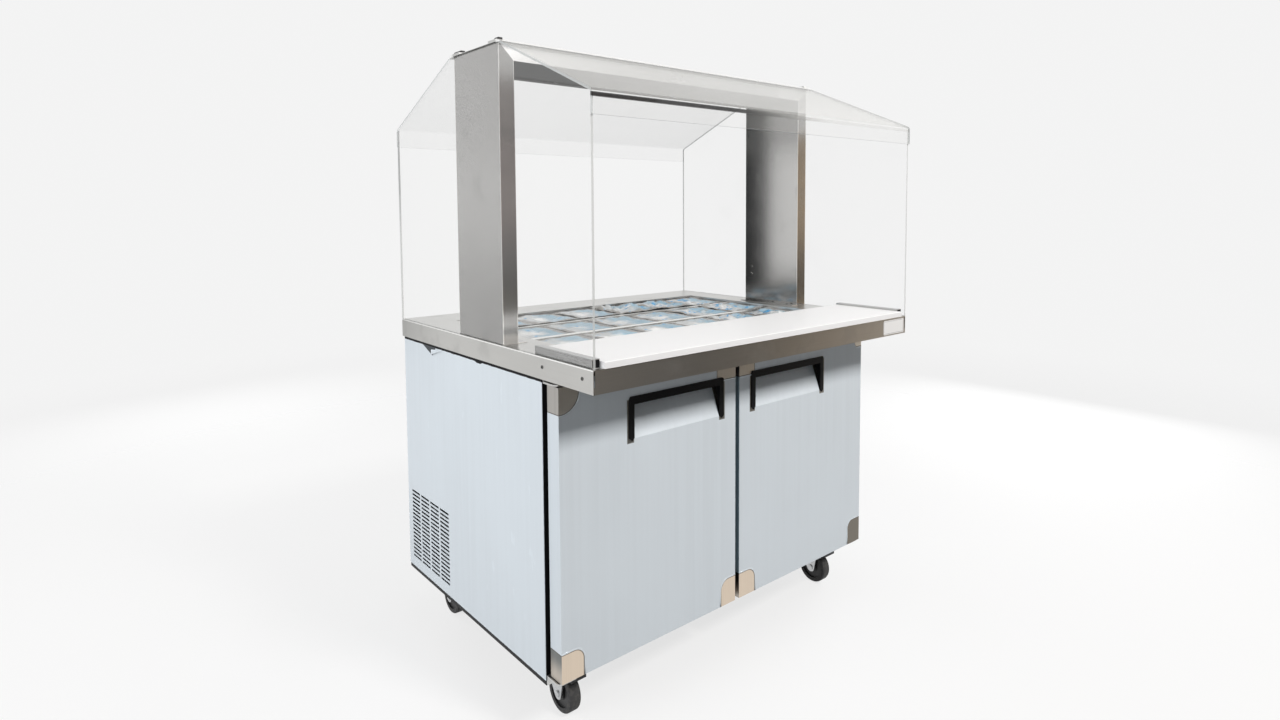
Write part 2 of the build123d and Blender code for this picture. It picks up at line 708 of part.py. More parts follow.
# Doors: folded skin with a scoop, foam, inner liner, gasket and the moulded handle trim
for side, door_name in ((-1, "door_left"), (1, "door_right")):
    inner_x = side * door_inner
    outer_x = side * door_outer
    skin_inner_x = inner_x + side * door_sheet
    skin_outer_x = outer_x - side * door_sheet
    skin_front = door_front + door_sheet
    skin_bottom = door_bottom_z + door_sheet
    skin_top = door_top_z - door_sheet
    foam_back = door_back - door_liner_sheet

    with BuildPart() as door_space:
        block((skin_inner_x, skin_front, skin_bottom), (skin_outer_x, door_back, skin_top))
        scoop(side, door_sheet, Mode.SUBTRACT)

    with BuildPart() as door_skin:
        block((inner_x, door_front, door_bottom_z), (outer_x, door_back, door_top_z))
        scoop(side, 0, Mode.SUBTRACT)
        add(door_space.part, mode=Mode.SUBTRACT)
        hinge_sleeve(side, hinge_boss_radius, Mode.ADD)
        hinge_sleeve(side, pin_radius + pin_clearance, Mode.SUBTRACT)
    save(door_skin.part, f"{door_name}_skin")

    with BuildPart() as door_foam:
        block((skin_inner_x, skin_front, skin_bottom), (skin_outer_x, foam_back, skin_top))
        scoop(side, door_sheet, Mode.SUBTRACT)
        hinge_sleeve(side, hinge_boss_radius, Mode.SUBTRACT)
    save(door_foam.part, f"{door_name}_foam")

    with BuildPart() as door_liner:
        block((skin_inner_x, foam_back, skin_bottom), (skin_outer_x, door_back, skin_top))
    save(door_liner.part, f"{door_name}_liner")

    with BuildPart() as door_gasket:
        seal_front = door_back
        seal_back = cabinet_front - gasket_gap
        block((inner_x + side * gasket_inset, seal_front, door_bottom_z + gasket_inset),
              (outer_x - side * gasket_inset, seal_back, door_top_z - gasket_inset))
        hole_inset = gasket_inset + gasket_width
        block((inner_x + side * hole_inset, seal_front, door_bottom_z + hole_inset),
              (outer_x - side * hole_inset, seal_back, door_top_z - hole_inset), Mode.SUBTRACT)
    save(door_gasket.part, f"{door_name}_gasket")

    with BuildPart() as door_handle:
        near = side * handle_inner
        far = side * handle_outer
        leg = side * handle_leg_width
        bar_z = handle_top_z - handle_bar_height
        leg_z = handle_bottom_z + handle_tip
        prism(Plane.XZ.offset(-door_front),
              ((near, handle_top_z), (far, handle_top_z), (far, leg_z), (far - leg / 2, handle_bottom_z),
               (far - leg, leg_z), (far - leg, bar_z), (near + leg, bar_z), (near + leg, leg_z),
               (near + leg / 2, handle_bottom_z), (near, leg_z)), handle_proud)
        fillet(door_handle.edges().filter_by(Axis.Y).group_by(Axis.Z)[-1], handle_corner)
        cheek_top = scoop_top_z - scoop_gap
        cheek_slope = scoop_depth / (scoop_top_z - scoop_bottom_z)
        cheek_low = scoop_bottom_z + scoop_gap / cheek_slope
        cheek_depth = (cheek_top - cheek_low) * cheek_slope
        for cheek_x in (side * (scoop_inner + scoop_gap), side * (scoop_outer - scoop_gap - handle_wall)):
            prism(Plane.YZ.offset(cheek_x),
                  ((door_front, cheek_low), (door_front + cheek_depth, cheek_top), (door_front, cheek_top)),
                  side * handle_wall)
        roof_z = cheek_top - handle_wall
        roof_depth = (roof_z - cheek_low) * cheek_slope
        block((side * (scoop_inner + scoop_gap), door_front, roof_z),
              (side * (scoop_outer - scoop_gap), door_front + roof_depth, cheek_top))
    save(door_handle.part, f"{door_name}_handle")

# Hinge brackets: bent plates on the front frame with upright pins for the doors
with BuildPart() as hinge_brackets:
    for side in (-1, 1):
        far_x = side * (cabinet_half - bracket_side_inset)
        near_x = far_x - side * bracket_width
        reach_y = cabinet_front - bracket_reach
        for seat_z, away in ((door_top_z, 1), (door_bottom_z, -1)):
            plate_z = seat_z + away * hinge_gap
            with BuildSketch(Plane.XY.offset(plate_z)):
                with BuildLine():
                    Polyline((far_x, cabinet_front), (far_x, reach_y), (near_x, reach_y), (near_x, cabinet_front),
                             close=True)
                make_face()
            extrude(amount=away * bracket_sheet)
            block((far_x, cabinet_front, plate_z),
                  (near_x, cabinet_front - bracket_sheet, plate_z + bracket_leg * away if away > 0
                   else base_top_z - base_flange))
            rod((side * hinge_x, hinge_y, plate_z), (0, 0, -away), pin_radius, pin_length)
    corners = hinge_brackets.edges().filter_by(Axis.Z).filter_by(
        lambda edge: abs(edge.center().Y - reach_y) < bracket_sheet)
    fillet(corners, bracket_corner)
save(hinge_brackets.part, "hinge_brackets")

# Condenser: a finned block with end plates, standing behind the side grille
unit_rear = shell_rear - unit_rear_inset
condenser_y = unit_rear - condenser_depth / 2
condenser_x = -shell_half + condenser_wall_gap
condenser_back_x = condenser_x + condenser_thickness
condenser_top_z = base_top_z + condenser_height
with BuildPart() as condenser:
    block((condenser_x, condenser_y - condenser_depth / 2, base_top_z),
          (condenser_back_x, condenser_y + condenser_depth / 2, condenser_top_z))
    groove_count = int((condenser_depth - 2 * condenser_fin_pitch) // condenser_fin_pitch)
    for face_x, inward in ((condenser_x, 1), (condenser_back_x, -1)):
        with BuildSketch(Plane.YZ.offset(face_x)):
            with Locations((condenser_y, base_top_z + condenser_height / 2)):
                with GridLocations(condenser_fin_pitch, condenser_fin_pitch, groove_count, 1):
                    Rectangle(condenser_fin_groove, condenser_height - 2 * condenser_fin_pitch)
        extrude(amount=inward * condenser_fin_cut, mode=Mode.SUBTRACT)
save(condenser.part, "condenser")

# Fan bracket: an upright plate on the base with the fan motor and its shaft
fan_x = condenser_back_x + fan_gap
fan_back_x = fan_x + fan_hub_length
motor_x = fan_back_x + motor_gap
motor_back_x = motor_x + motor_length
fan_z = base_top_z + condenser_height / 2
with BuildPart() as fan_bracket:
    bracket_half = motor_bracket_width / 2
    block((motor_back_x, condenser_y - bracket_half, base_top_z),
          (motor_back_x + motor_bracket_sheet, condenser_y + bracket_half, fan_z + bracket_half))
    block((motor_back_x, condenser_y - bracket_half, base_top_z),
          (motor_back_x + motor_bracket_foot, condenser_y + bracket_half, base_top_z + motor_bracket_sheet))
    rod((motor_back_x, condenser_y, fan_z), (-1, 0, 0), motor_radius, motor_length)
    rod((motor_x, condenser_y, fan_z), (-1, 0, 0), motor_shaft_radius, motor_gap + fan_hub_length)
save(fan_bracket.part, "fan_bracket")


def fan_rotor(centre, axis, tip_radius):
    """Hub with pitched blades, bored for a motor shaft, facing along an axis."""
    root_radius = fan_hub_radius / 2
    with BuildPart() as rotor:
        rod(centre, axis, fan_hub_radius, fan_hub_length)
        with Locations(Plane(origin=centre, z_dir=axis).offset(fan_hub_length / 2)):
            with PolarLocations((tip_radius + root_radius) / 2, fan_blades):
                Box(tip_radius - root_radius, fan_blade_width, fan_blade_sheet, rotation=(fan_blade_pitch, 0, 0))
        rod(centre, axis, motor_shaft_radius + motor_shaft_gap, fan_hub_length, Mode.SUBTRACT)
    return rotor.part


save(fan_rotor((fan_x, condenser_y, fan_z), (1, 0, 0), fan_radius), "condenser_fan")

# Compressor: a welded can on a foot plate with its terminal box
compressor_x = motor_back_x + motor_bracket_foot + compressor_gap
with BuildPart() as compressor:
    can_z = base_top_z + compressor_plate_sheet
    rod((compressor_x, condenser_y, can_z), (0, 0, 1), compressor_radius, compressor_height)
    fillet(compressor.edges().group_by(Axis.Z)[-1], compressor_edge)
    block((compressor_x - compressor_plate_width / 2, condenser_y - compressor_plate_depth / 2, base_top_z),
          (compressor_x + compressor_plate_width / 2, condenser_y + compressor_plate_depth / 2, can_z))
    block((compressor_x, condenser_y - compressor_box / 2, can_z + compressor_box),
          (compressor_x + compressor_radius + compressor_box / 2, condenser_y + compressor_box / 2,
           can_z + 2 * compressor_box))
save(compressor.part, "compressor")

# Evaporator housing: a folded cover on the back wall with the fan mouth and a motor bar
housing_half = housing_width / 2
housing_front = liner_rear - housing_depth
housing_top_z = liner_top_z - housing_ceiling_gap
housing_bottom_z = housing_top_z - housing_height
housing_middle_z = (housing_top_z + housing_bottom_z) / 2
evaporator_fan_y = housing_front + housing_sheet + evaporator_fan_gap
evaporator_motor_y = evaporator_fan_y + fan_hub_length + motor_gap
motor_bar_y = evaporator_motor_y + evaporator_motor_length
knob_x = housing_half - knob_side_inset
knob_z = housing_bottom_z + knob_height_inset
with BuildPart() as evaporator_housing:
    block((-housing_half, housing_front, housing_bottom_z), (housing_half, liner_rear, housing_top_z))
    block((-housing_half + housing_sheet, housing_front + housing_sheet, housing_bottom_z + housing_sheet),
          (housing_half - housing_sheet, liner_rear, housing_top_z - housing_sheet), Mode.SUBTRACT)
    rod((0, housing_front, housing_middle_z), (0, 1, 0), evaporator_fan_radius, housing_sheet, Mode.SUBTRACT)
    rod((knob_x, housing_front, knob_z), (0, 1, 0), knob_shaft_radius + knob_shaft_gap, housing_sheet,
        Mode.SUBTRACT)
    for side in (-1, 1):
        with BuildSketch(Plane.XZ.offset(-housing_front)):
            with Locations((side * (housing_half + evaporator_fan_radius) / 2, housing_middle_z)):
                with GridLocations(outlet_slot_length, 2 * outlet_slot_height, 1, outlet_slots):
                    Rectangle(outlet_slot_length, outlet_slot_height)
        extrude(amount=-housing_sheet, mode=Mode.SUBTRACT)
    block((-housing_half + housing_sheet, motor_bar_y, housing_middle_z - motor_bar_height / 2),
          (housing_half - housing_sheet, motor_bar_y + motor_bar_sheet, housing_middle_z + motor_bar_height / 2))
    rod((0, motor_bar_y, housing_middle_z), (0, -1, 0), evaporator_motor_radius, evaporator_motor_length)
    rod((0, evaporator_motor_y, housing_middle_z), (0, -1, 0), motor_shaft_radius, motor_gap + fan_hub_length)
save(evaporator_housing.part, "evaporator_housing")

save(fan_rotor((0, evaporator_fan_y, housing_middle_z), (0, 1, 0), evaporator_fan_radius - evaporator_fan_gap),
     "evaporator_fan")

# Evaporator coil: a finned block on the back wall inside the housing
with BuildPart() as evaporator:
    coil_front = liner_rear - coil_depth
    coil_half = coil_width / 2
    block((-coil_half, coil_front, housing_middle_z - coil_height / 2),
          (coil_half, liner_rear, housing_middle_z + coil_height / 2))
    coil_grooves = int((coil_width - 2 * coil_fin_pitch) // coil_fin_pitch)
    with BuildSketch(Plane.XZ.offset(-coil_front)):
        with Locations((0, housing_middle_z)):
            with GridLocations(coil_fin_pitch, coil_fin_pitch, coil_grooves, 1):
                Rectangle(coil_fin_groove, coil_height - 2 * coil_fin_pitch)
    extrude(amount=-coil_fin_cut, mode=Mode.SUBTRACT)
save(evaporator.part, "evaporator")

# Thermostat knob on the housing's face
with BuildPart() as thermostat_knob:
    knob_seat = (knob_x, housing_front - knob_seat_gap, knob_z)
    rod(knob_seat, (0, -1, 0), knob_radius, knob_length / 2)
    block((knob_x - knob_grip_width / 2, housing_front - knob_seat_gap, knob_z - knob_grip_reach),
          (knob_x + knob_grip_width / 2, housing_front - knob_seat_gap - knob_length, knob_z + knob_grip_reach))
    rod(knob_seat, (0, 1, 0), knob_shaft_radius, knob_shaft_length)
save(thermostat_knob.part, "thermostat_knob")

# Cord gland: a neck through the back panel with a nut outside
with BuildPart() as cord_gland:
    rod((gland_x, cabinet_rear - gland_neck_length, gland_z), (0, 1, 0), gland_neck_radius, gland_neck_length)
    with BuildSketch(Plane.XZ.offset(-cabinet_rear)):
        with Locations((gland_x, gland_z)):
            RegularPolygon(gland_radius, 6)
    extrude(amount=-gland_nut_length)
    rod((gland_x, cabinet_rear - gland_neck_length, gland_z), (0, 1, 0), gland_bore,
        gland_neck_length + gland_nut_length, Mode.SUBTRACT)
save(cord_gland.part, "cord_gland")

# Caster places: left and right, front and rear
caster_x = cabinet_half - caster_side_inset
caster_front_y = cabinet_front + caster_front_inset
caster_rear_y = cabinet_rear - caster_rear_inset
casters = (("front_left", -caster_x, caster_front_y), ("front_right", caster_x, caster_front_y),
           ("rear_left", -caster_x, caster_rear_y), ("rear_right", caster_x, caster_rear_y))
plate_z = base_z - caster_plate_sheet
race_z = plate_z - race_height
crown_top_z = race_z - swivel_gap
crown_z = crown_top_z - fork_sheet
kingpin_z = crown_z - swivel_gap
fork_inner = wheel_width / 2 + wheel_gap
fork_outer = fork_inner + fork_sheet
axle_z = wheel_radius

# Caster plates: bolted top plates with the swivel race and kingpin
with BuildPart() as caster_plates:
    for caster_name, plate_x, plate_y in casters:
        block((plate_x - caster_plate_width / 2, plate_y - caster_plate_length / 2, plate_z),
              (plate_x + caster_plate_width / 2, plate_y + caster_plate_length / 2, base_z))
        rod((plate_x, plate_y, plate_z), (0, 0, -1), race_radius, race_height)
        rod((plate_x, plate_y, race_z), (0, 0, -1), kingpin_radius, race_z - kingpin_z)
        rod((plate_x, plate_y, kingpin_z), (0, 0, -1), kingpin_head_radius, kingpin_head_height)
        bolt_x = caster_plate_width / 2 - caster_bolt_inset
        bolt_y = caster_plate_length / 2 - caster_bolt_inset
        for side in (-1, 1):
            for end in (-1, 1):
                rod((plate_x + side * bolt_x, plate_y + end * bolt_y, plate_z), (0, 0, -1), caster_bolt_radius,
                    caster_bolt_head)
save(caster_plates.part, "caster_plates")

# Forks, wheels and brake pedals; the wheels trail towards the front
for caster_name, swivel_x, swivel_y in casters:
    braked = caster_name.startswith("front")
    axle_y = swivel_y - fork_trail
    pedal_y = axle_y - pedal_pivot_ahead

    with BuildPart() as caster_fork:
        with BuildSketch(Plane.YZ.offset(swivel_x - fork_outer)):
            with Locations((swivel_y, (crown_top_z + crown_z) / 2)):
                Rectangle(fork_crown_length, fork_sheet)
            with Locations((axle_y, axle_z)):
                Circle(fork_axle_boss)
            if braked:
                with Locations((pedal_y, pedal_pivot_height)):
                    Circle(pedal_boss_radius)
            make_hull()
        extrude(amount=2 * fork_outer)
        block((swivel_x - fork_inner, swivel_y - 2 * wheel_radius - fork_trail, 0),
              (swivel_x + fork_inner, swivel_y + 2 * wheel_radius, crown_z), Mode.SUBTRACT)
        if braked:
            block((swivel_x - fork_inner, swivel_y - 2 * wheel_radius - fork_trail, 0),
                  (swivel_x + fork_inner, swivel_y - fork_crown_length / 2, crown_top_z), Mode.SUBTRACT)
        rod((swivel_x, swivel_y, crown_z), (0, 0, 1), kingpin_radius + swivel_clearance, fork_sheet, Mode.SUBTRACT)
        rod((swivel_x - fork_inner, axle_y, axle_z), (1, 0, 0), axle_radius, 2 * fork_inner)
        for side in (-1, 1):
            rod((swivel_x + side * fork_outer, axle_y, axle_z), (side, 0, 0), axle_head_radius, axle_head_height)
        if braked:
            rod((swivel_x - fork_inner, pedal_y, pedal_pivot_height), (1, 0, 0), pedal_pin_radius, 2 * fork_inner)
    save(caster_fork.part, f"caster_fork_{caster_name}")

    with BuildPart() as caster_wheel:
        rod((swivel_x - wheel_width / 2, axle_y, axle_z), (1, 0, 0), wheel_radius, wheel_width)
        fillet(caster_wheel.edges().filter_by(GeomType.CIRCLE), wheel_edge)
        for side in (-1, 1):
            with BuildSketch(Plane(origin=(swivel_x + side * wheel_width / 2, axle_y, axle_z), z_dir=(-side, 0, 0))):
                Circle(wheel_rim_radius)
                Circle(wheel_hub_radius, mode=Mode.SUBTRACT)
            extrude(amount=wheel_hub_recess, mode=Mode.SUBTRACT)
        rod((swivel_x - wheel_width / 2, axle_y, axle_z), (1, 0, 0), axle_radius + axle_clearance, wheel_width,
            Mode.SUBTRACT)
    save(caster_wheel.part, f"caster_wheel_{caster_name}")

    if braked:
        with BuildPart() as brake_pedal:
            pedal_half = fork_inner - pedal_side_gap
            pedal_start = (swivel_x - pedal_half, pedal_y, pedal_pivot_height)
            rod(pedal_start, (1, 0, 0), pedal_barrel_radius, 2 * pedal_half)
            block((swivel_x - pedal_half, pedal_y, pedal_pivot_height),
                  (swivel_x + pedal_half, pedal_y - pedal_length, pedal_pivot_height + pedal_sheet))
            block((swivel_x - fork_outer, pedal_y - pedal_length, pedal_pivot_height),
                  (swivel_x + fork_outer, pedal_y - pedal_length + pedal_tread_length,
                   pedal_pivot_height + 2 * pedal_sheet))
            rod(pedal_start, (1, 0, 0), pedal_pin_radius + pedal_clearance, 2 * pedal_half, Mode.SUBTRACT)
        save(brake_pedal.part, f"brake_pedal_{caster_name}")
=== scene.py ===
import math

import bmesh
import bpy
from mathutils import Euler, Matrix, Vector, noise


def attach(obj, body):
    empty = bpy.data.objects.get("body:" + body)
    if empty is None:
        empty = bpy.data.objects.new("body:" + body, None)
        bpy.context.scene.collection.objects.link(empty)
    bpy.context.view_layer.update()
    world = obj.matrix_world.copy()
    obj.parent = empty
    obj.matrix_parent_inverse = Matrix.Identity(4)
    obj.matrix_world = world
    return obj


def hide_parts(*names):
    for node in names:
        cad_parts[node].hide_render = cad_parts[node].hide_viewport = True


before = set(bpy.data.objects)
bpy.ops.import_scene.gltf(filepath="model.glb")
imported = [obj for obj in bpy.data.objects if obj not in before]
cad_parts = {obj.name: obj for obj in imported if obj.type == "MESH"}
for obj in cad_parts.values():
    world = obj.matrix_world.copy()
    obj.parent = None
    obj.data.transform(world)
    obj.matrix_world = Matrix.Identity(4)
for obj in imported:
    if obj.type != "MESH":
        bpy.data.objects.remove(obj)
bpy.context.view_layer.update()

# Casters: zinc-plated pressed forks hang from plates bolted under the base pan and carry
# black rubber tyres on moulded centres. The front pair has tipping brake pedals of black
# moulded plastic on a pin between the fork's legs.


class Wire:
    """One value in a finish; arithmetic on it adds Math nodes."""

    def __init__(self, finish, socket):
        self.finish = finish
        self.socket = socket

    def __add__(self, other):
        return self.finish.maths("ADD", self, other)

    def __sub__(self, other):
        return self.finish.maths("SUBTRACT", self, other)

    def __rsub__(self, other):
        return self.finish.maths("SUBTRACT", other, self)

    def __mul__(self, other):
        return self.finish.maths("MULTIPLY", self, other)

    def __truediv__(self, other):
        return self.finish.maths("DIVIDE", self, other)

    def __neg__(self):
        return self * -1.0

    __radd__ = __add__
    __rmul__ = __mul__

    def size(self):
        return self.finish.maths("ABSOLUTE", self)

    def least(self, other):
        return self.finish.maths("MINIMUM", self, other)

    def most(self, other):
        return self.finish.maths("MAXIMUM", self, other)

    def root(self):
        return self.finish.maths("SQRT", self)

    def step(self, low, high):
        """Smoothly from 0 at the low end to 1 at the high end."""
        return self.finish.node("ShaderNodeMapRange", {"interpolation_type": "SMOOTHSTEP"},
                                {"Value": self, "From Min": low, "From Max": high})

    def fade(self, low, high):
        """Smoothly from 1 at the low end to 0 at the high end."""
        return 1.0 - self.step(low, high)

    def over(self, line, blur=0.0003):
        """1 over a line and 0 under it, with a little blur to each side."""
        return self.step(line - blur, line + blur)

    def under(self, line, blur=0.0003):
        return 1.0 - self.over(line, blur)


class Finish:
    """A material being built from nodes around one Principled shader."""

    def __init__(self, name):
        self.material = bpy.data.materials.new(name)
        self.material.use_nodes = True
        self.tree = self.material.node_tree
        self.shader = self.tree.nodes["Principled BSDF"]
        self.place = self.node("ShaderNodeTexCoord", {}, {}, "Object")

    def node(self, kind, settings, inputs, output=0):
        made = self.tree.nodes.new(kind)
        for key, value in settings.items():
            setattr(made, key, value)
        for key, value in inputs.items():
            self.feed(made.inputs[key], value)
        return Wire(self, made.outputs[output])

    def feed(self, socket, value):
        if isinstance(value, Wire):
            self.tree.links.new(value.socket, socket)
        else:
            socket.default_value = value

    def shade(self, **values):
        for key, value in values.items():
            self.feed(self.shader.inputs[key.replace("_", " ")], value)
        return self

    def maths(self, operation, first, second=0.0):
        return self.node("ShaderNodeMath", {"operation": operation}, {0: first, 1: second})

    def axis(self, letter):
        return self.node("ShaderNodeSeparateXYZ", {}, {0: self.place}, letter)

    def facing(self, letter):
        normal = self.node("ShaderNodeNewGeometry", {}, {}, "Normal")
        return self.node("ShaderNodeSeparateXYZ", {}, {0: normal}, letter)

    def noise(self, scale, detail=3.0, stretch=(1.0, 1.0, 1.0), roughness=0.5):
        placed = self.node("ShaderNodeMapping", {}, {"Vector": self.place, "Scale": stretch})
        return self.node("ShaderNodeTexNoise", {},
                         {"Vector": placed, "Scale": scale, "Detail": detail, "Roughness": roughness})

    def mix(self, share, first, second):
        return self.node("ShaderNodeMix", {"data_type": "RGBA"}, {0: share, 6: first, 7: second}, 2)

    def bump(self, height, strength, distance):
        sockets = {"Height": height, "Strength": strength, "Distance": distance}
        return self.shade(Normal=self.node("ShaderNodeBump", {}, sockets))


def tint(colour, share=1.0):
    """Colour times a share, with full alpha."""
    return tuple(min(1.0, part * share) for part in colour) + (1.0,)


def dress(finish, *names):
    """Give CAD nodes a finish on every material slot."""
    for name in names:
        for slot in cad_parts[name].material_slots:
            slot.material = finish.material


def plated(name, colour, roughness, coated=None):
    """Zinc-plated sheet: a faint spangle, uneven sheen and a little dulling.

    Where it is told to be, it is painted black as shade."""
    finish = Finish(name)
    spangle = finish.noise(140.0, 2.0)
    haze = finish.noise(16.0, 4.0)
    tone = finish.mix(spangle.step(0.35, 0.65), tint(colour, 0.9), tint(colour, 1.06))
    tone = finish.mix(haze.step(0.4, 0.8), tone, tint(colour, 0.8))
    black_shade = coated(finish) if coated else 0.0
    finish.shade(Base_Color=finish.mix(black_shade, tone, (0.01, 0.01, 0.011, 1)), Metallic=0.95,
                 Roughness=roughness + spangle * 0.1 + haze * 0.12 - 0.1 + black_shade * 0.4)
    return finish.bump(spangle, 0.08, 0.0006)


def moulded(name, colour, roughness, grain=900.0, strength=0.12, gloss=0.4, rubbed=1.18):
    """Moulded plastic with a fine cast grain and slight rubbing."""
    finish = Finish(name)
    cast = finish.noise(grain)
    rub = finish.noise(22.0, 5.0)
    finish.shade(Base_Color=finish.mix(rub.step(0.45, 0.75), tint(colour), tint(colour, rubbed)),
                 Roughness=roughness + cast * 0.1 + rub * 0.12 - 0.1, Specular_IOR_Level=gloss)
    return finish.bump(cast, strength, 0.0003)


axle_z = 0.05
core_radius = 0.0368


def tyred_wheel(name, axle_y):
    """Rubber tyre round a smooth moulded centre, split by the distance from the axle."""
    finish = Finish(name)
    run = finish.axis("Y") - axle_y
    rise = finish.axis("Z") - axle_z
    reach = (run * run + rise * rise).root()
    tyre = reach.over(core_radius)
    scuff = finish.noise(90.0, 4.0)
    rubber = finish.mix(scuff.step(0.4, 0.75), (0.035, 0.035, 0.037, 1), (0.075, 0.073, 0.07, 1))
    centre = finish.mix(scuff.step(0.3, 0.8), (0.016, 0.016, 0.017, 1), (0.032, 0.032, 0.033, 1))
    finish.shade(Base_Color=finish.mix(tyre, centre, rubber), Roughness=0.42 + tyre * 0.25 + scuff * 0.1)
    return finish.bump(scuff, 0.15, 0.0005)


caster_zinc = plated("caster_zinc", (0.64, 0.65, 0.66), 0.34)
dress(caster_zinc, "caster_plates")
for end, axle_y in (("front", -0.237), ("rear", 0.368)):
    wheel_rubber = tyred_wheel(f"{end}_wheel_rubber", axle_y)
    for side in ("left", "right"):
        dress(caster_zinc, f"caster_fork_{end}_{side}")
        dress(wheel_rubber, f"caster_wheel_{end}_{side}")
dress(moulded("pedal_plastic", (0.03, 0.03, 0.032), 0.45),
      "brake_pedal_front_left", "brake_pedal_front_right")

# Base and back: a base pan of sheet with folded edges, coloured black as painted shade under the
# cabinet, and a plain galvanised back with rows of punched air slots for the machine space and a
# moulded cord gland. The back's inner face is painted black as the shade inside the machine space.


def inner_back_shade(finish):
    """The back's inner face, painted black as the shade inside the machine space."""
    return (-finish.facing("Y")).step(0.5, 0.6)


# The back's inner face is painted black as shade, so that its air slots read dark.
shell_zinc = plated("shell_zinc", (0.56, 0.58, 0.60), 0.42, inner_back_shade)
dress(shell_zinc, "back_panel", "fan_bracket")
# The base pan is coloured near black as painted shade under the cabinet.
dress(moulded("base_paint", (0.014, 0.014, 0.015), 0.5, 400.0, 0.1, 0.2), "base_pan")
dress(moulded("gland_plastic", (0.035, 0.035, 0.035), 0.5), "cord_gland")


def new_object(name, data):
    """Object in the scene that holds a mesh, a lamp or a camera."""
    made = bpy.data.objects.new(name, data)
    bpy.context.scene.collection.objects.link(made)
    return made


class Maker:
    """Geometry nodes being laid out in one tree."""

    def __init__(self, name):
        self.tree = bpy.data.node_groups.new(name, "GeometryNodeTree")
        self.socket("Geometry", "Geometry")
        self.socket("Geometry", "Geometry", "OUTPUT")
        self.keys = {}
        self.start = self.tree.nodes.new("NodeGroupInput")
        self.end = self.tree.nodes.new("NodeGroupOutput")

    def socket(self, name, kind, flow="INPUT"):
        """Add a named socket to the tree and give its identifier."""
        made = self.tree.interface.new_socket(name, in_out=flow, socket_type="NodeSocket" + kind)
        return made.identifier

    def inputs(self, **kinds):
        for kind, names in kinds.items():
            for name in names.split():
                self.keys[name] = self.socket(name, kind)

    def given(self, name):
        return self.start.outputs[name]

    def node(self, kind, settings, inputs, output=0):
        made = self.tree.nodes.new(kind)
        for key, value in settings.items():
            setattr(made, key, value)
        for key, value in inputs.items():
            for item in value if isinstance(value, list) else [value]:
                if isinstance(item, bpy.types.NodeSocket):
                    self.tree.links.new(item, made.inputs[key])
                else:
                    made.inputs[key].default_value = item
        return made.outputs[output]

    def maths(self, operation, first, second):
        return self.node("ShaderNodeMath", {"operation": operation}, {0: first, 1: second})

    def finish(self, geometry, material):
        real = self.node("GeometryNodeRealizeInstances", {}, {0: geometry})
        painted = self.node("GeometryNodeSetMaterial", {}, {"Geometry": real, "Material": material})
        self.tree.links.new(painted, self.end.inputs[0])

    def make(self, name, body, points, **values):
        """Run the tree on (place, facing) points, keep the plain mesh, and let it ride on a body."""
        seed_mesh = bpy.data.meshes.new(name + "_points")
        seed_mesh.from_pydata([place for place, facing in points], [], [])
        toward = seed_mesh.attributes.new("facing", "FLOAT_VECTOR", "POINT")
        for number, (place, facing) in enumerate(points):
            toward.data[number].vector = facing
        seed = new_object(name + "_seed", seed_mesh)
        modifier = seed.modifiers.new("maker", "NODES")
        modifier.node_group = self.tree
        for key, value in values.items():
            modifier[self.keys[key]] = value
        evaluated = seed.evaluated_get(bpy.context.evaluated_depsgraph_get())
        mesh = bpy.data.meshes.new_from_object(evaluated)
        bpy.data.objects.remove(seed)
        piece = new_object(name, mesh)
        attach(piece, body)
        return piece


def slot_rim_maker():
    """Thin beads round punched slots, laid flat in columns and rows, then turned and placed."""
    maker = Maker("punched_slot_rims")
    given = maker.given
    maker.inputs(Float="slot_length slot_height pitch_along pitch_up rim_radius", Int="columns rows",
                 Rotation="turn", Vector="centre", Material="metal")
    length, rise = (maker.maths("MULTIPLY", given(pitch), maker.maths("SUBTRACT", given(count), 1.0))
                    for pitch, count in (("pitch_along", "columns"), ("pitch_up", "rows")))
    grid = maker.node("GeometryNodeMeshGrid", {},
                      {"Size X": length, "Size Y": rise, "Vertices X": given("columns"),
                       "Vertices Y": given("rows")})
    outline = maker.node("GeometryNodeCurvePrimitiveQuadrilateral", {},
                         {"Width": given("slot_length"), "Height": given("slot_height")})
    bead = maker.node("GeometryNodeCurvePrimitiveCircle", {},
                      {"Resolution": 6, "Radius": given("rim_radius")})
    rim = maker.node("GeometryNodeCurveToMesh", {}, {"Curve": outline, "Profile Curve": bead})
    field = maker.node("GeometryNodeInstanceOnPoints", {}, {"Points": grid, "Instance": rim})
    placed = maker.node("GeometryNodeTransform", {},
                        {"Geometry": field, "Translation": given("centre"), "Rotation": given("turn")})
    maker.finish(placed, given("metal"))
    return maker


slot_rims = slot_rim_maker()
vent_sizes = {"slot_length": 0.057, "slot_height": 0.0065, "pitch_along": 0.0655, "pitch_up": 0.01215,
              "rim_radius": 0.0003}
vent_z = 0.277525
back_slots_y = 0.4949
one_point = [((0, 0, 0), (0, 0, 1))]
slot_rims.make("back_slot_rims", "table", one_point, columns=7, rows=12,
                       turn=Euler((math.pi / 2, 0, 0)), centre=(0.0, back_slots_y, vent_z),
                       metal=shell_zinc.material, **vent_sizes)

# Side panels: brushed stainless sheets still under their pale blue protective film. The
# left one is punched with a grille for the condenser, and its film is torn at the top.

film_colour = (0.72, 0.785, 0.84)
shade_band_level = 0.8535
shade_notch_y = 0.013


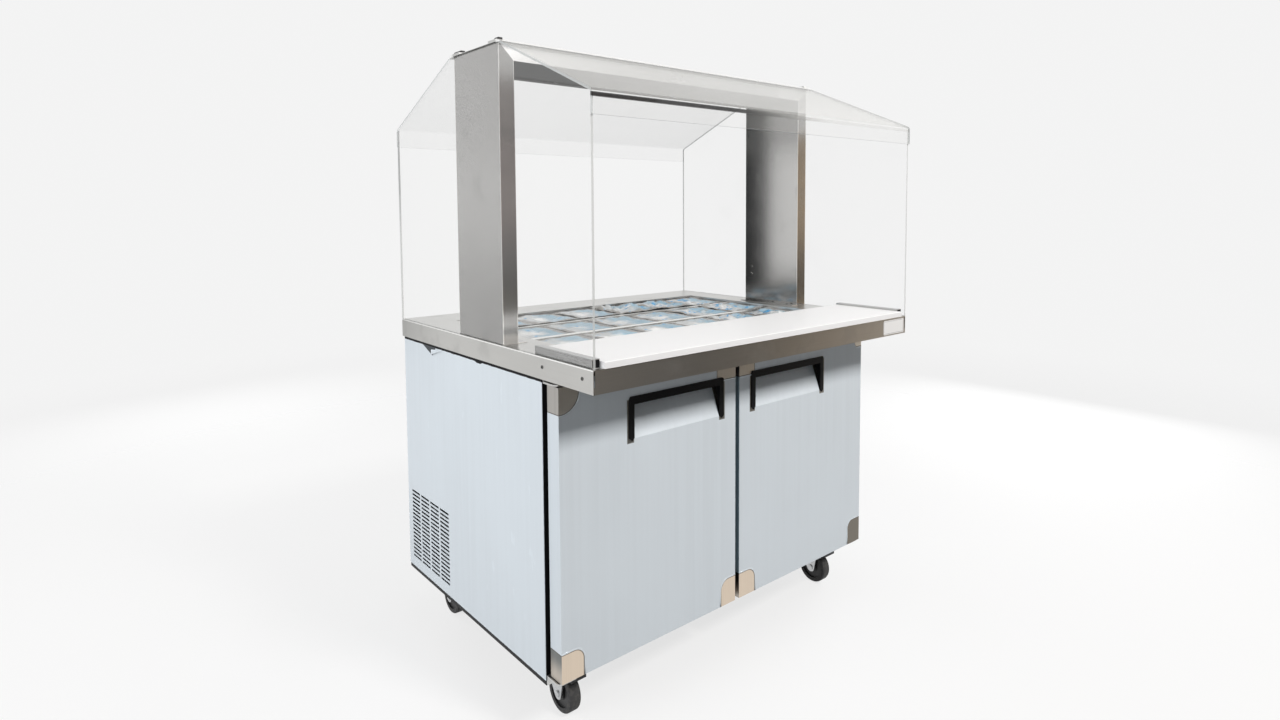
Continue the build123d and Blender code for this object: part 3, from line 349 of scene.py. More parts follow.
def filmed(name, sheen, painted_black_shade=None):
    """Protective film on steel: milky, with faint rolled streaks, fine wrinkles and handling marks.

    Where it is told to be, the sheet is painted black as shade."""
    finish = Finish(name)
    rolled = finish.noise(1.0, 5.0, (60.0, 60.0, 1.6))
    cloud = finish.noise(2.4, 4.0)
    marks = finish.noise(36.0, 6.0, (1.0, 1.0, 0.35))
    tone = finish.mix(rolled.step(0.3, 0.7), tint(film_colour, 0.98), tint(film_colour, 1.015))
    tone = finish.mix(cloud.step(0.35, 0.75), tone, tint(film_colour, 1.04))
    tone = finish.mix(marks.step(0.66, 0.74) * 0.35, tone, tint(film_colour, 1.16))
    black = painted_black_shade(finish) if painted_black_shade else 0.0
    finish.shade(Base_Color=finish.mix(black, tone, (0.006, 0.006, 0.007, 1)),
                 Roughness=sheen + rolled * 0.12 + cloud * 0.1 - 0.1 + black * 0.5,
                 Metallic=0.1, Specular_IOR_Level=0.45)
    return finish.bump(rolled * 0.6 + marks * 0.4, 0.07, 0.0008)


def panel_shade(finish):
    """A side panel's inner face, painted black as the shade inside the machine space, and its ragged top
    edge.

    Along that edge, below the skirt, runs a band of painted black shade with one notch."""
    inward = -(finish.facing("X") * finish.maths("SIGN", finish.axis("X")))
    shade_notch = (finish.axis("Y") - shade_notch_y).size().fade(0.008, 0.024)
    ragged = finish.axis("Z") + (finish.noise(60.0, 4.0) - 0.5) * 0.003 + shade_notch * 0.0035
    return ragged.over(shade_band_level).most(inward.step(0.5, 0.6))


# The side panels' inner faces, and a band along their top edges below the skirt, are painted black as shade.
panel_film = filmed("panel_film", 0.34, panel_shade)
dress(panel_film, "side_panel_left", "side_panel_right")
side_slots_x = -0.5954
side_slots_y = 0.33925
slot_rims.make("side_slot_rims", "table", one_point, columns=4, rows=18,
                       turn=Euler((math.pi / 2, 0, math.pi / 2)), centre=(side_slots_x, side_slots_y, vent_z),
                       metal=panel_film.material, **vent_sizes)


def thin_piece(name, mesh, material, thickness, offset=0.0, smooth=True):
    """Piece made from one open sheet of faces, which is given a thickness."""
    made = bpy.data.meshes.new(name)
    mesh.to_mesh(made)
    mesh.free()
    made.materials.append(material)
    for face in made.polygons:
        face.use_smooth = smooth
    piece = new_object(name, made)
    shell = piece.modifiers.new("thickness", "SOLIDIFY")
    shell.thickness = thickness
    shell.offset = offset
    return piece


def panel_scrap(name, corners, lifts, material):
    """Three-cornered scrap on the left panel: (y, z) corners, and how far each stands off the sheet."""
    steps = 10
    panel_face = -0.5955
    tip, rear, front = (Vector((panel_face - lift, y, z)) for (y, z), lift in zip(corners, lifts))
    mesh = bmesh.new()
    rows = []
    for i in range(steps + 1):
        row = []
        for j in range(i + 1):
            share = j / i if i else 0.0
            spot = tip.lerp(rear.lerp(front, share), i / steps)
            bulge = max(lifts) * 0.5 * math.sin(math.pi * share) * (1 - i / steps)
            row.append(mesh.verts.new(spot - Vector((bulge, 0, 0))))
        rows.append(row)
    for upper, lower in zip(rows, rows[1:]):
        for j in range(len(upper)):
            mesh.faces.new((upper[j], lower[j], lower[j + 1]))
            if j:
                mesh.faces.new((upper[j - 1], lower[j], upper[j]))
    bmesh.ops.recalc_face_normals(mesh, faces=mesh.faces)
    piece = thin_piece(name, mesh, material, 0.00012, smooth=False)
    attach(piece, "table")


tear_top = 0.8545
# The steel bared under the torn film's flap is coloured near black as painted shade.
panel_scrap("panel_tear_steel", ((0.2955, 0.829), (0.361, tear_top), (0.272, tear_top)),
            (0.0002, 0.0002, 0.0002), plated("tear_steel", (0.05, 0.06, 0.07), 0.3).material)
panel_scrap("panel_tear_film", ((0.293, 0.832), (0.296, 0.8475), (0.2245, shade_band_level)),
            (0.006, 0.0035, 0.0004), panel_film.material)

# Insulated box: a black moulded front frame and an embossed aluminium liner round rigid
# foam, with white coated wire shelves on moulded clips.


def cells(finish, scale):
    """Distance from the nearest of many scattered points."""
    return finish.node("ShaderNodeTexVoronoi", {}, {"Vector": finish.place, "Scale": scale}, "Distance")


def embossed(name, colour):
    """Stucco-embossed aluminium sheet."""
    finish = Finish(name)
    dimples = cells(finish, 260.0)
    dull_and_shade = finish.noise(9.0, 4.0)
    finish.shade(Base_Color=finish.mix(dull_and_shade.step(0.35, 0.7), tint(colour), tint(colour, 0.86)),
                 Metallic=0.9, Roughness=0.36 + dull_and_shade * 0.16)
    return finish.bump(dimples, 0.35, 0.0009)


def cellular(name, colour):
    """Rigid foam with a cut open-cell face."""
    finish = Finish(name)
    patch = finish.noise(12.0, 4.0)
    finish.shade(Base_Color=finish.mix(patch, tint(colour, 0.85), tint(colour, 1.08)), Roughness=0.9)
    return finish.bump(cells(finish, 900.0), 0.4, 0.001)


pale_rubbed = 1.03
dress(moulded("frame_plastic", (0.008, 0.008, 0.009), 0.4, gloss=0.15), "front_frame")
dress(moulded("clip_plastic", (0.56, 0.57, 0.58), 0.4), "shelf_clips")
dress(embossed("liner_aluminium", (0.78, 0.79, 0.80)), "cabinet_liner")
dress(cellular("rigid_foam", (0.86, 0.79, 0.60)), "cabinet_foam", "door_left_foam", "door_right_foam")
dress(moulded("shelf_coating", (0.86, 0.86, 0.85), 0.3, 500.0, 0.06, rubbed=pale_rubbed),
      "shelf_left", "shelf_right")

# Machine: a black welded compressor can and a black finned condenser behind the side grille,
# and a finned evaporator in a white moulded housing, each with a small moulded fan.

fin_pitch = 0.003


def finned(name, colour, axis_letter):
    """Stacked thin fins: fine parallel lines across the block, the gaps between them painted dark as shade.
    """
    finish = Finish(name)
    fin = (finish.maths("FRACT", finish.axis(axis_letter) / fin_pitch) - 0.5).size().step(0.2, 0.4)
    dust = finish.noise(30.0, 5.0)
    tone = finish.mix(fin, tint(colour, 0.35), tint(colour))
    finish.shade(Base_Color=finish.mix(dust.step(0.55, 0.8), tone, tint(colour, 0.75)), Metallic=0.8,
                 Roughness=0.4 + dust * 0.2)
    return finish.bump(fin, 0.3, 0.001)


dress(moulded("compressor_paint", (0.022, 0.022, 0.024), 0.32, 260.0, 0.1), "compressor")
dress(finned("condenser_fins", (0.02, 0.02, 0.021), "Y"), "condenser")
dress(finned("evaporator_fins", (0.70, 0.71, 0.72), "X"), "evaporator")
dress(moulded("fan_plastic", (0.07, 0.07, 0.075), 0.38), "condenser_fan", "evaporator_fan")
dress(moulded("housing_plastic", (0.86, 0.87, 0.88), 0.35, rubbed=pale_rubbed), "evaporator_housing")
dress(moulded("knob_plastic", (0.03, 0.03, 0.032), 0.36), "thermostat_knob")

# Doors: folded stainless skins still under pale blue film, cut away at the corners to bare
# brushed steel. Each has a sloping finger scoop in a black moulded trim, a white moulded
# inner liner and a black rubber gasket, and hangs on zinc-plated brackets.

door_inner = 0.008
door_outer = 0.589
door_bottom = 0.155
door_top = 0.849
door_front = -0.351
handle_near = 0.057
handle_far = 0.385
handle_low = 0.685
handle_high = 0.795
corner_cuts = {
    "left": {"outer_top": (0.057, 0.064, 0.052), "inner_top": (0.073, 0.062, 0.004),
             "outer_bottom": (0.064, 0.070, 0.028), "inner_bottom": (0.057, 0.073, 0.030)},
    "right": {"outer_top": (0.036, 0.048, 0.012), "inner_top": (0.063, 0.063, 0.004),
              "outer_bottom": (0.064, 0.078, 0.024), "inner_bottom": (0.066, 0.071, 0.030)},
}
cut_shadow_width = 0.0021
strip_beside = 0.0055
strip_below = 0.0045
strip_shadow_width = 0.001
handle_leg = 0.016
# Bare steel tones: a warm painted reflection low down, a greyer shaded tone up high, and darker steel at the
# right door's lower outer corner.
warm_reflection_steel = (0.73, 0.615, 0.495)
shaded_steel = (0.74, 0.73, 0.69)
darker_bare_steel = (0.20, 0.18, 0.15)


def door_face(name, outer_steel, cuts):
    """Film over brushed steel, cut back round every corner of the door and along the handle.

    Each cut is (width, height, radius). A thin dark shadow is painted along the film's cut edges."""
    finish = Finish(name)
    across = finish.axis("X").size()
    up = finish.axis("Z")
    film = 1.0
    shadow = 0.0
    for corner, (width, height, radius) in cuts.items():
        run = door_outer - across if corner.startswith("outer") else across - door_inner
        rise = up - door_bottom if corner.endswith("bottom") else door_top - up
        over_run = (run - (width - radius)).most(0.0)
        over_rise = (rise - (height - radius)).most(0.0)
        past = (over_run * over_run + over_rise * over_rise).root() - radius
        film = past.over(0.0) * film
        shadow = past.over(-cut_shadow_width) * past.under(0.0) + shadow
    beside = (across - (handle_near + handle_far) / 2).size() - (handle_far - handle_near) / 2
    below = handle_low - up
    strip = beside.under(strip_beside) * below.under(strip_below)
    strip_shadow = (beside.under(strip_beside + strip_shadow_width)
                    * below.under(strip_below + strip_shadow_width) - strip)
    by_leg = (beside + handle_leg).step(0.0, 0.001) * up.fade(handle_high - 0.009, handle_high - 0.005)
    strip = strip * by_leg
    shadow = (shadow + strip_shadow * by_leg).least(1.0)
    film = film * (1.0 - strip)
    rolled = finish.noise(1.0, 5.0, (70.0, 70.0, 1.4))
    grain = finish.noise(1.0, 8.0, (1300.0, 200.0, 5.0))
    cloud = finish.noise(2.2, 4.0)
    sheet = finish.mix(rolled.step(0.3, 0.7), tint(film_colour, 0.98), tint(film_colour, 1.015))
    sheet = finish.mix(cloud.step(0.35, 0.75), sheet, tint(film_colour, 1.04))
    # The film on the side faces, in the gap between the doors, is painted dark teal as shade.
    sideways = finish.facing("X").size().step(0.6, 0.8)
    sheet = finish.mix(sideways * across.fade(0.05, 0.1), sheet, (0.36, 0.47, 0.53, 1))
    # Painted reflection and shade on the bare steel: greyer and shaded up high, a dark-to-light painted
    # reflection on the side faces, and darker strips beside the handle legs.
    shaded_upper_half = up.step(0.35, 0.6)
    bare = finish.mix(across.step(0.45, 0.5), tint(warm_reflection_steel), tint(outer_steel))
    bare = finish.mix(shaded_upper_half, bare, tint(shaded_steel))
    side_reflection = finish.mix(up.step(door_bottom + 0.012, door_bottom + 0.06), (0.55, 0.50, 0.44, 1),
                            (0.20, 0.21, 0.205, 1))
    side_reflection = finish.mix(shaded_upper_half, side_reflection, (0.46, 0.445, 0.42, 1))
    bare = finish.mix(sideways, bare, side_reflection)
    bare = finish.mix(strip, bare, tint(shaded_steel, 0.45))
    bare = finish.mix(grain.step(0.3, 0.7) * 0.1, bare, (0.0, 0.0, 0.0, 1))
    tone = finish.mix(film, bare, sheet)
    finish.shade(Base_Color=finish.mix(shadow * 0.8, tone, (0.09, 0.075, 0.06, 1)), Metallic=1.0 - film * 0.9,
                 Roughness=0.26 + grain * 0.1 + film * (0.1 + rolled * 0.12) + shadow * 0.2)
    return finish.bump(grain * (1.0 - film) + rolled * film, 0.07, 0.0006)


def ribbed_rubber(name):
    """Extruded gasket rubber with soft ribs and a dusty bloom."""
    rib_density = 900.0
    finish = Finish(name)
    bloom = finish.noise(40.0, 5.0)
    tone = finish.mix(bloom.step(0.4, 0.8), (0.018, 0.018, 0.02, 1), (0.05, 0.05, 0.052, 1))
    finish.shade(Base_Color=tone, Roughness=0.55 + bloom * 0.2)
    return finish.bump(finish.maths("SINE", finish.axis("Y") * rib_density), 0.4, 0.001)


def edge_path(width, height, radius, steps=8):
    """Corner cut of the film, from the door's side edge round to its end edge."""
    path = [(0.0, height), ((width - radius) * 0.5, height), (width - radius, height)]
    for number in range(1, steps):
        angle = math.pi / 2 * (1 - number / steps)
        path.append((width - radius + radius * math.cos(angle), height - radius + radius * math.sin(angle)))
    return path + [(width, height - radius), (width, (height - radius) * 0.5), (width, 0.0)]


def weave(mesh, rows):
    """Four-cornered faces between neighbouring rows of points."""
    for one, two in zip(rows, rows[1:]):
        for corners in zip(one, one[1:], two[1:], two):
            mesh.faces.new(corners)


def film_curls(name, body, hand, cuts, material):
    """Loose edges of the film round the bare corners of one door, lifting a little off the steel."""
    mesh = bmesh.new()
    reaches = (0.0, 0.0006, 0.0014, 0.0024, 0.0036)
    lifts = (1.0, 0.62, 0.3, 0.1, 0.0)
    film_gap = 0.00012
    sides = ((door_inner, 1, "inner"), (door_outer, -1, "outer"))
    ends = ((door_bottom, 1, "bottom"), (door_top, -1, "top"))
    for side_number, (edge, inward, side) in enumerate(sides):
        for end_number, (level, upward, end) in enumerate(ends):
            path = edge_path(*cuts[f"{side}_{end}"])
            rows = []
            for number, (run, rise) in enumerate(path):
                before = path[max(0, number - 1)]
                after = path[min(len(path) - 1, number + 1)]
                along = Vector((after[0] - before[0], after[1] - before[1])).normalized()
                outward = Vector((-along.y, along.x))
                place = Vector((run * 55 + side_number * 9, rise * 55 + end_number * 7, hand * 5.0))
                height = 0.0003 + 0.0010 * max(0.0, 0.3 + noise.noise(place))
                row = []
                for reach, lift in zip(reaches, lifts):
                    at_run = max(0.0, run + outward.x * reach)
                    at_rise = max(0.0, rise + outward.y * reach)
                    row.append(mesh.verts.new((hand * (edge + inward * at_run),
                                               door_front - film_gap - lift * height,
                                               level + upward * at_rise)))
                rows.append(row)
            weave(mesh, rows)
    bmesh.ops.recalc_face_normals(mesh, faces=mesh.faces)
    piece = thin_piece(name, mesh, material, 0.00015)
    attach(piece, body)


curl_film = filmed("curl_film", 0.25)
for side, hand, outer_steel in (("left", -1, warm_reflection_steel), ("right", 1, darker_bare_steel)):
    dress(door_face(f"door_{side}_film", outer_steel, corner_cuts[side]), f"door_{side}_skin")
    film_curls(f"door_{side}_film_curls", f"door_{side}", hand, corner_cuts[side], curl_film.material)
dress(moulded("door_liner_plastic", (0.84, 0.85, 0.86), 0.38, rubbed=pale_rubbed),
      "door_left_liner", "door_right_liner")
dress(ribbed_rubber("gasket_rubber"), "door_left_gasket", "door_right_gasket")
handle_plastic = moulded("handle_plastic", (0.005, 0.005, 0.006), 0.4, 1100.0, 0.15, 0.12)
dress(handle_plastic, "door_left_handle", "door_right_handle")
dress(plated("hinge_zinc", (0.60, 0.60, 0.59), 0.32), "hinge_brackets")

# Worktop: brushed stainless folded into a deep front overhang with turned-down skirts, and
# a satin well below its opening with two divider bars for the pans.

fold_x = 0.595
fold_z = 0.912
fold_blur = 0.0005


def brushed(name, colour, roughness, side_grain=False, grain=(4.0, 900.0, 900.0), painted_highlights=None, below=1.0,
            painted_shade=None):
    """Brushed stainless: long fine lines along the sheet, cloudy sheen, faint smears and painted highlights.

    It can take a turned grain on its sides, painted shade on its undersides and in given places."""
    finish = Finish(name)
    lines = finish.noise(1.0, 8.0, grain, 0.6)
    if side_grain:
        turned = finish.noise(1.0, 8.0, (grain[1], grain[0], grain[2]), 0.6)
        sideways = finish.facing("X").size().step(0.5, 0.6)
        lines = lines * (1.0 - sideways) + turned * sideways
    cloud = finish.noise(3.0, 4.0)
    smear = finish.noise(11.0, 6.0)
    tone = finish.mix(lines.step(0.3, 0.7), tint(colour, 0.965), tint(colour, 1.025))
    tone = finish.mix(cloud.step(0.4, 0.8) * 0.6, tone, tint(colour, 0.9))
    tone = finish.mix(smear.step(0.56, 0.7) * 0.5, tone, tint(colour, 0.82))
    # Painted shade: undersides are darkened as far as below says, and given places too.
    under = (-finish.facing("Z")).step(0.6, 0.8) * (1.0 - below)
    dull_and_shade = painted_shade(finish) if painted_shade else 0.0
    tone = finish.mix(under + dull_and_shade, tone, (0.0, 0.0, 0.0, 1))
    bright = painted_highlights(finish) if painted_highlights else 0.0
    finish.shade(Base_Color=finish.mix(bright, tone, tint(colour, 1.7)), Metallic=1.0,
                 Roughness=roughness + lines * 0.06 + cloud * 0.08 + smear.step(0.55, 0.8) * 0.05 - 0.06
                 + under * 0.3)
    return finish.bump(lines, 0.015, 0.0004)


def worktop_fold_highlight(finish):
    """Painted highlight along the fold from the worktop's top down into its side skirts."""
    return finish.axis("X").size().over(fold_x, fold_blur) * finish.axis("Z").over(fold_z, fold_blur)


dress(brushed("worktop_steel", (0.60, 0.595, 0.575), 0.3, True, painted_highlights=worktop_fold_highlight), "worktop")
dress(brushed("well_steel", (0.84, 0.83, 0.82), 0.27, True), "pan_well")
dress(brushed("bar_steel", (0.88, 0.88, 0.86), 0.3), "pan_bars")

# Food pans: small deep-drawn stainless pans in three rows, polished inside and still under
# their thin blue film, which sags over the left pans and lies crumpled over the right ones.

pan_pitch = 0.162
pans_per_row = 6
rim_height = 0.903
row_pitch = 0.196
row_places = {"rear": 0.251, "middle": 0.055, "front": -0.141}


def drawn(name, colour):
    """Deep-drawn polished steel: soft draw marks and water spots."""
    finish = Finish(name)
    draw = finish.noise(1.0, 5.0, (60.0, 60.0, 6.0))
    spots = cells(finish, 120.0)
    finish.shade(Base_Color=finish.mix(draw.step(0.3, 0.75), tint(colour, 0.9), tint(colour, 1.04)),
                 Metallic=1.0, Roughness=0.14 + draw * 0.1 + spots.step(0.3, 0.1) * 0.08)
    return finish.bump(draw, 0.05, 0.0006)


dress(drawn("pan_steel", (0.72, 0.73, 0.74)), "pans_rear", "pans_middle", "pans_front")


def blue_film(name):
    """Thin film over the pans: a painted glare where it sags, blue beside that and grey on the rims.

    Towards the right it is more rumpled and bunched into deeper blue."""
    finish = Finish(name)
    fold = finish.noise(34.0)
    crease = finish.noise(150.0)
    along = finish.axis("X")
    side = finish.maths("FRACT", along / pan_pitch) * 2.0 - 1.0
    from_row = finish.axis("Y") - row_places["middle"]
    off_end = finish.maths("PINGPONG", from_row, row_pitch / 2) / (row_pitch / 2)
    rumpled = along.step(-0.05, 0.35)
    stray = (fold - 0.5) * (0.45 + rumpled * 0.8)
    wander = (finish.noise(6.0, 1.0) - 0.5) * 1.4
    # Painted reflection: a white glare in each pan, and the pale side of the film beside it.
    glare_side = side + wander + 0.15
    off_glare = (glare_side * glare_side + off_end * off_end).root() + stray
    blue_side = (side + stray - wander).step(-0.3, 0.3)
    tone = finish.mix(blue_side, (0.66, 0.69, 0.705, 1), (0.36, 0.55, 0.68, 1))
    bunched = fold + rumpled * 0.07
    tone = finish.mix(bunched.step(0.61, 0.70), tone, (0.10, 0.37, 0.67, 1))
    tone = finish.mix(off_glare.fade(0.10, 0.48), tone, (0.97, 0.98, 0.98, 1))
    on_rim = (side.size().most(off_end) + stray * 0.25).step(0.70, 0.84)
    pressed = (finish.noise(21.0, 4.0).step(0.56, 0.66) * rumpled * 0.6).most(on_rim * 0.92)
    tone = finish.mix(pressed, tone, (0.44, 0.425, 0.40, 1))
    finish.shade(Base_Color=tone, Roughness=0.12 + crease * 0.14, Specular_IOR_Level=0.3,
                 Alpha=0.9 + fold.step(0.45, 0.75) * 0.08 - pressed * 0.2)
    return finish.bump(crease, 0.25, 0.0008)


film_blue = blue_film("film_blue")


def film_scraps(row, scraps):
    """Film lying over the pans of one row: (spread, height over the rim, crumple) for each pan in turn."""
    mesh = bmesh.new()
    row_y = row_places[row]
    half_width = 0.0795
    half_length = 0.0885
    divisions = 26
    shares = [2 * number / divisions - 1 for number in range(divisions + 1)]
    for pan, (spread, height, crumple) in enumerate(scraps):
        pan_x = (pan - (pans_per_row - 1) / 2) * pan_pitch
        points = []
        for v in shares:
            line = []
            for u in shares:
                ragged = 1 + 0.1 * noise.noise(Vector((u * 1.7, v * 1.7, pan * 3.1 + row_y * 20)))
                reach = min(1.0, spread * ragged)
                spot = Vector((u * 1.3 + pan * 2.7, v * 1.3, row_y * 30))
                ridge = 0.9 * abs(noise.noise(spot)) + 0.45 * abs(noise.noise(spot * 2.1))
                fine = noise.noise(spot * 5.0)
                held = (1 - u ** 4) * (1 - v ** 4)
                lift = crumple * (0.25 + 0.75 * held) * (ridge - 0.1 + 0.06 * fine)
                sag = -0.005 * (1 - u * u) * (1 - v * v)
                line.append(mesh.verts.new((pan_x + u * half_width * reach, row_y + v * half_length * reach,
                                            rim_height + height + lift + sag)))
            points.append(line)
        weave(mesh, points)
    bmesh.ops.recalc_face_normals(mesh, faces=mesh.faces)
    piece = thin_piece(f"pan_film_{row}", mesh, film_blue.material, 0.0002, -1.0)
    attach(piece, f"{row}_pans")


taut_film = ((1.05, 0.001, 0.010), (1.05, 0.001, 0.010), (1.04, 0.001, 0.012))
film_scraps("rear", ((1.05, 0.005, 0.010), (1.04, 0.004, 0.014), (0.98, 0.005, 0.018), (1.0, 0.005, 0.040),
                     (0.98, 0.005, 0.026), (0.97, 0.004, 0.016)))
film_scraps("middle", taut_film + ((1.04, 0.001, 0.012), (0.98, 0.001, 0.020), (0.98, 0.002, 0.030)))
film_scraps("front", taut_film + ((1.04, 0.001, 0.014), (0.98, 0.001, 0.022), (0.98, 0.001, 0.026)))

# Cutting board: white polyethylene, faintly textured and knife-marked, between square
# stainless rails whose front ends are closed by black moulded plugs.


def cut_board(name):
    """White board plastic with a fine orange-peel and a few pale knife lines."""
    finish = Finish(name)
    peel = finish.noise(650.0, 2.0)
    cloud = finish.noise(6.0, 4.0)
    marks = finish.noise(1.0, 6.0, (30.0, 700.0, 1.0)).step(0.68, 0.72)
    tone = finish.mix(cloud, (0.88, 0.885, 0.895, 1), (0.90, 0.905, 0.915, 1))
    finish.shade(Base_Color=finish.mix(marks * 0.4, tone, (0.83, 0.83, 0.82, 1)),
                 Roughness=0.42 + peel * 0.1 + marks * 0.1, Specular_IOR_Level=0.4)
    return finish.bump(peel - marks * 0.5, 0.1, 0.0004)


dress(cut_board("board_plastic"), "cutting_board")
dress(brushed("rail_steel", (0.50, 0.50, 0.495), 0.26, grain=(900.0, 4.0, 900.0)), "board_rails")
dress(handle_plastic, "rail_plugs")

# Portal: two brushed stainless box columns screwed to the worktop through their feet, with
# a mitred beam across the top that carries the guard.

column_middle = 0.573
column_fold_x = 0.0193
column_fold_y = 0.1163


def column_sheen(finish):
    """Painted highlights on the upright corners, at mid height and inside the right column."""
    along = finish.axis("X")
    deep = finish.axis("Y")
    up = finish.axis("Z")
    from_middle = (along.size() - column_middle).size()
    corner = from_middle.over(column_fold_x, fold_blur) * deep.size().over(column_fold_y, fold_blur)
    mid_height = up.step(1.08, 1.28) * up.fade(1.30, 1.52)
    inner = (-finish.facing("X")).step(0.5, 0.6) * along.step(0.0, 0.1)
    near_side = inner * deep.fade(-0.04, 0.07) * up.step(0.98, 1.1) * up.fade(1.44, 1.50)
    return corner.most(mid_height * 0.14).most(near_side * 0.34)


def column_foot_shade(finish):
    """Painted shade: the columns darken a little towards the foot."""
    return finish.axis("Z").fade(0.95, 1.24) * 0.2


def beam_sheen(finish):
    """Painted highlight on the beam's front: brighter toward its left end, and again at the right mitre."""
    along = finish.axis("X")
    front = (-finish.facing("Y")).step(0.5, 0.6)
    return front * (along.step(-0.1, -0.5) * 0.6 + along.step(0.446, 0.452) * 0.45)


# The columns carry painted highlights and painted shade toward the foot.
dress(brushed("column_steel", (0.485, 0.48, 0.47), 0.13, grain=(900.0, 900.0, 4.0), painted_highlights=column_sheen,
              painted_shade=column_foot_shade), "column_left", "column_right")
# The beam's front gets a painted highlight and its underside is darkened as painted shade.
dress(brushed("beam_steel", (0.66, 0.66, 0.65), 0.25, painted_highlights=beam_sheen, below=0.12), "top_beam")


def screw_head_maker():
    """Low domed screw heads with a cross recess, one on each point and facing as it says."""
    maker = Maker("cross_recess_screws")
    given = maker.given
    maker.inputs(Float="head_radius head_height recess_length recess_width", Material="metal")
    half_height = maker.maths("MULTIPLY", given("head_height"), 0.5)
    waist = maker.maths("MULTIPLY", given("head_radius"), 0.9)
    crown = maker.maths("MULTIPLY", given("head_radius"), 0.55)
    foot, dome = (maker.node("GeometryNodeMeshCone", {},
                             {"Vertices": 24, "Radius Top": top, "Radius Bottom": low, "Depth": half_height})
                  for top, low in ((waist, given("head_radius")), (crown, waist)))
    dome_seat = maker.node("ShaderNodeCombineXYZ", {}, {"Z": half_height})
    dome = maker.node("GeometryNodeTransform", {}, {"Geometry": dome, "Translation": dome_seat})
    recess_seat = maker.node("ShaderNodeCombineXYZ", {}, {"Z": given("head_height")})
    arms = []
    for long_axis, short_axis, depth in (("X", "Y", 0.9), ("Y", "X", 0.86)):
        arm = maker.node("ShaderNodeCombineXYZ", {},
                         {long_axis: given("recess_length"), short_axis: given("recess_width"),
                          "Z": maker.maths("MULTIPLY", given("head_height"), depth)})
        cut = maker.node("GeometryNodeMeshCube", {}, {"Size": arm})
        arms.append(maker.node("GeometryNodeTransform", {}, {"Geometry": cut, "Translation": recess_seat}))
    dome = maker.node("GeometryNodeMeshBoolean", {"operation": "DIFFERENCE"},
                      {"Mesh 1": dome, "Mesh 2": arms})
    head = maker.node("GeometryNodeJoinGeometry", {}, {0: [foot, dome]})
    toward = maker.node("GeometryNodeInputNamedAttribute", {"data_type": "FLOAT_VECTOR"}, {"Name": "facing"})
    turned = maker.node("FunctionNodeAlignRotationToVector", {"axis": "Z"}, {"Vector": toward})
    heads = maker.node("GeometryNodeInstanceOnPoints", {},
                       {"Points": given("Geometry"), "Instance": head, "Rotation": turned})
    maker.finish(heads, given("metal"))
    return maker


skirt_x = 0.6
skirt_screw_z = 0.891
foot_screw_x = 0.539
foot_top_z = 0.917
column_inner_x = 0.552
column_screw_y = 0.089
screw_seats = []
for hand in (-1, 1):
    screw_seats += [((hand * skirt_x, y, skirt_screw_z), (hand, 0, 0)) for y in (-0.46, -0.303)]
    screw_seats += [((hand * foot_screw_x, y, foot_top_z), (0, 0, 1)) for y in (-0.085, 0.0, 0.085)]
    screw_seats += [((hand * column_inner_x, column_screw_y, z), (-hand, 0, 0)) for z in (1.014, 1.04)]
# The screw heads are coloured near black as painted shade, for the shadow round each head.
screw_steel = plated("screw_steel", (0.13, 0.13, 0.125), 0.24)
screw_set = screw_head_maker().make("screw_heads", "table", screw_seats, head_radius=0.0045,
                                    head_height=0.0022, recess_length=0.0046, recess_width=0.0011,
                                    metal=screw_steel.material)
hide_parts("screws")

# Guard: clear acrylic end panels and bent canopies with saw-cut edges that catch the light,
# held at the beam's ends by small black moulded clips.

beam_top = 1.655
bond_edge_y = 0.1177
crest_z = 1.6525
crest_y = 0.1154
eave_level = 1.491
lip_front = 0.496
acrylic_edge = (0.58, 0.60, 0.60)


def clear_acrylic(name, edges, bend, cloudy, glare, colour):
    """Clear sheet: nearly invisible faces, brighter at a glancing angle, and pale frosted edges.

    Where it lies bonded on the beam's top the steel shows through, up to a painted white crest highlight."""
    finish = Finish(name)
    slant = finish.node("ShaderNodeLayerWeight", {}, {"Blend": 0.5}, "Facing")
    edge = edges(finish)
    bent = bend(finish) if bend else 0.0
    haze = finish.noise(5.0, 5.0)
    wiped = finish.noise(1.0, 5.0, (3.0, 3.0, 40.0))
    face = cloudy + finish.maths("POWER", slant, 5.0) * glare + haze.step(0.5, 0.8) * 0.02
    deep = finish.axis("Y").size()
    up = finish.axis("Z")
    bonded = up.step(beam_top - 0.0005, beam_top) * deep.under(bond_edge_y, 0.0005)
    # Painted highlight: a white line along the crest.
    crest = up.over(crest_z, 0.0005) * deep.over(crest_y, 0.0004)
    tone = finish.mix(edge, tint(colour), tint(acrylic_edge))
    # Painted dark reflection below the eave's bend.
    tone = finish.mix(bent, tone, (0.03, 0.03, 0.03, 1))
    tone = finish.mix(bonded, tone, (0.64, 0.64, 0.63, 1))
    finish.shade(Base_Color=finish.mix(crest, tone, (0.90, 0.90, 0.89, 1)),
                 Metallic=bonded * (1.0 - crest) * 0.85, IOR=1.49,
                 Roughness=0.05 + wiped * 0.04 + edge * 0.35 + bonded * 0.16,
                 Alpha=(face * (1.0 - edge) + edge * 0.75 + bent * 0.8 + bonded + crest * 0.7).least(1.0))
    return finish.bump(wiped, 0.01, 0.0004)


def panel_edges(finish):
    """Every cut edge of an end panel but the one that it stands on."""
    return finish.facing("X").size().fade(0.4, 0.6) * finish.facing("Z").step(-0.9, -0.8)


def canopy_edges(finish):
    """The canopy's ends and the bottom of its lip."""
    ends = finish.facing("X").size().step(0.4, 0.6)
    return ends.most((-finish.facing("Z")).step(0.985, 0.995))


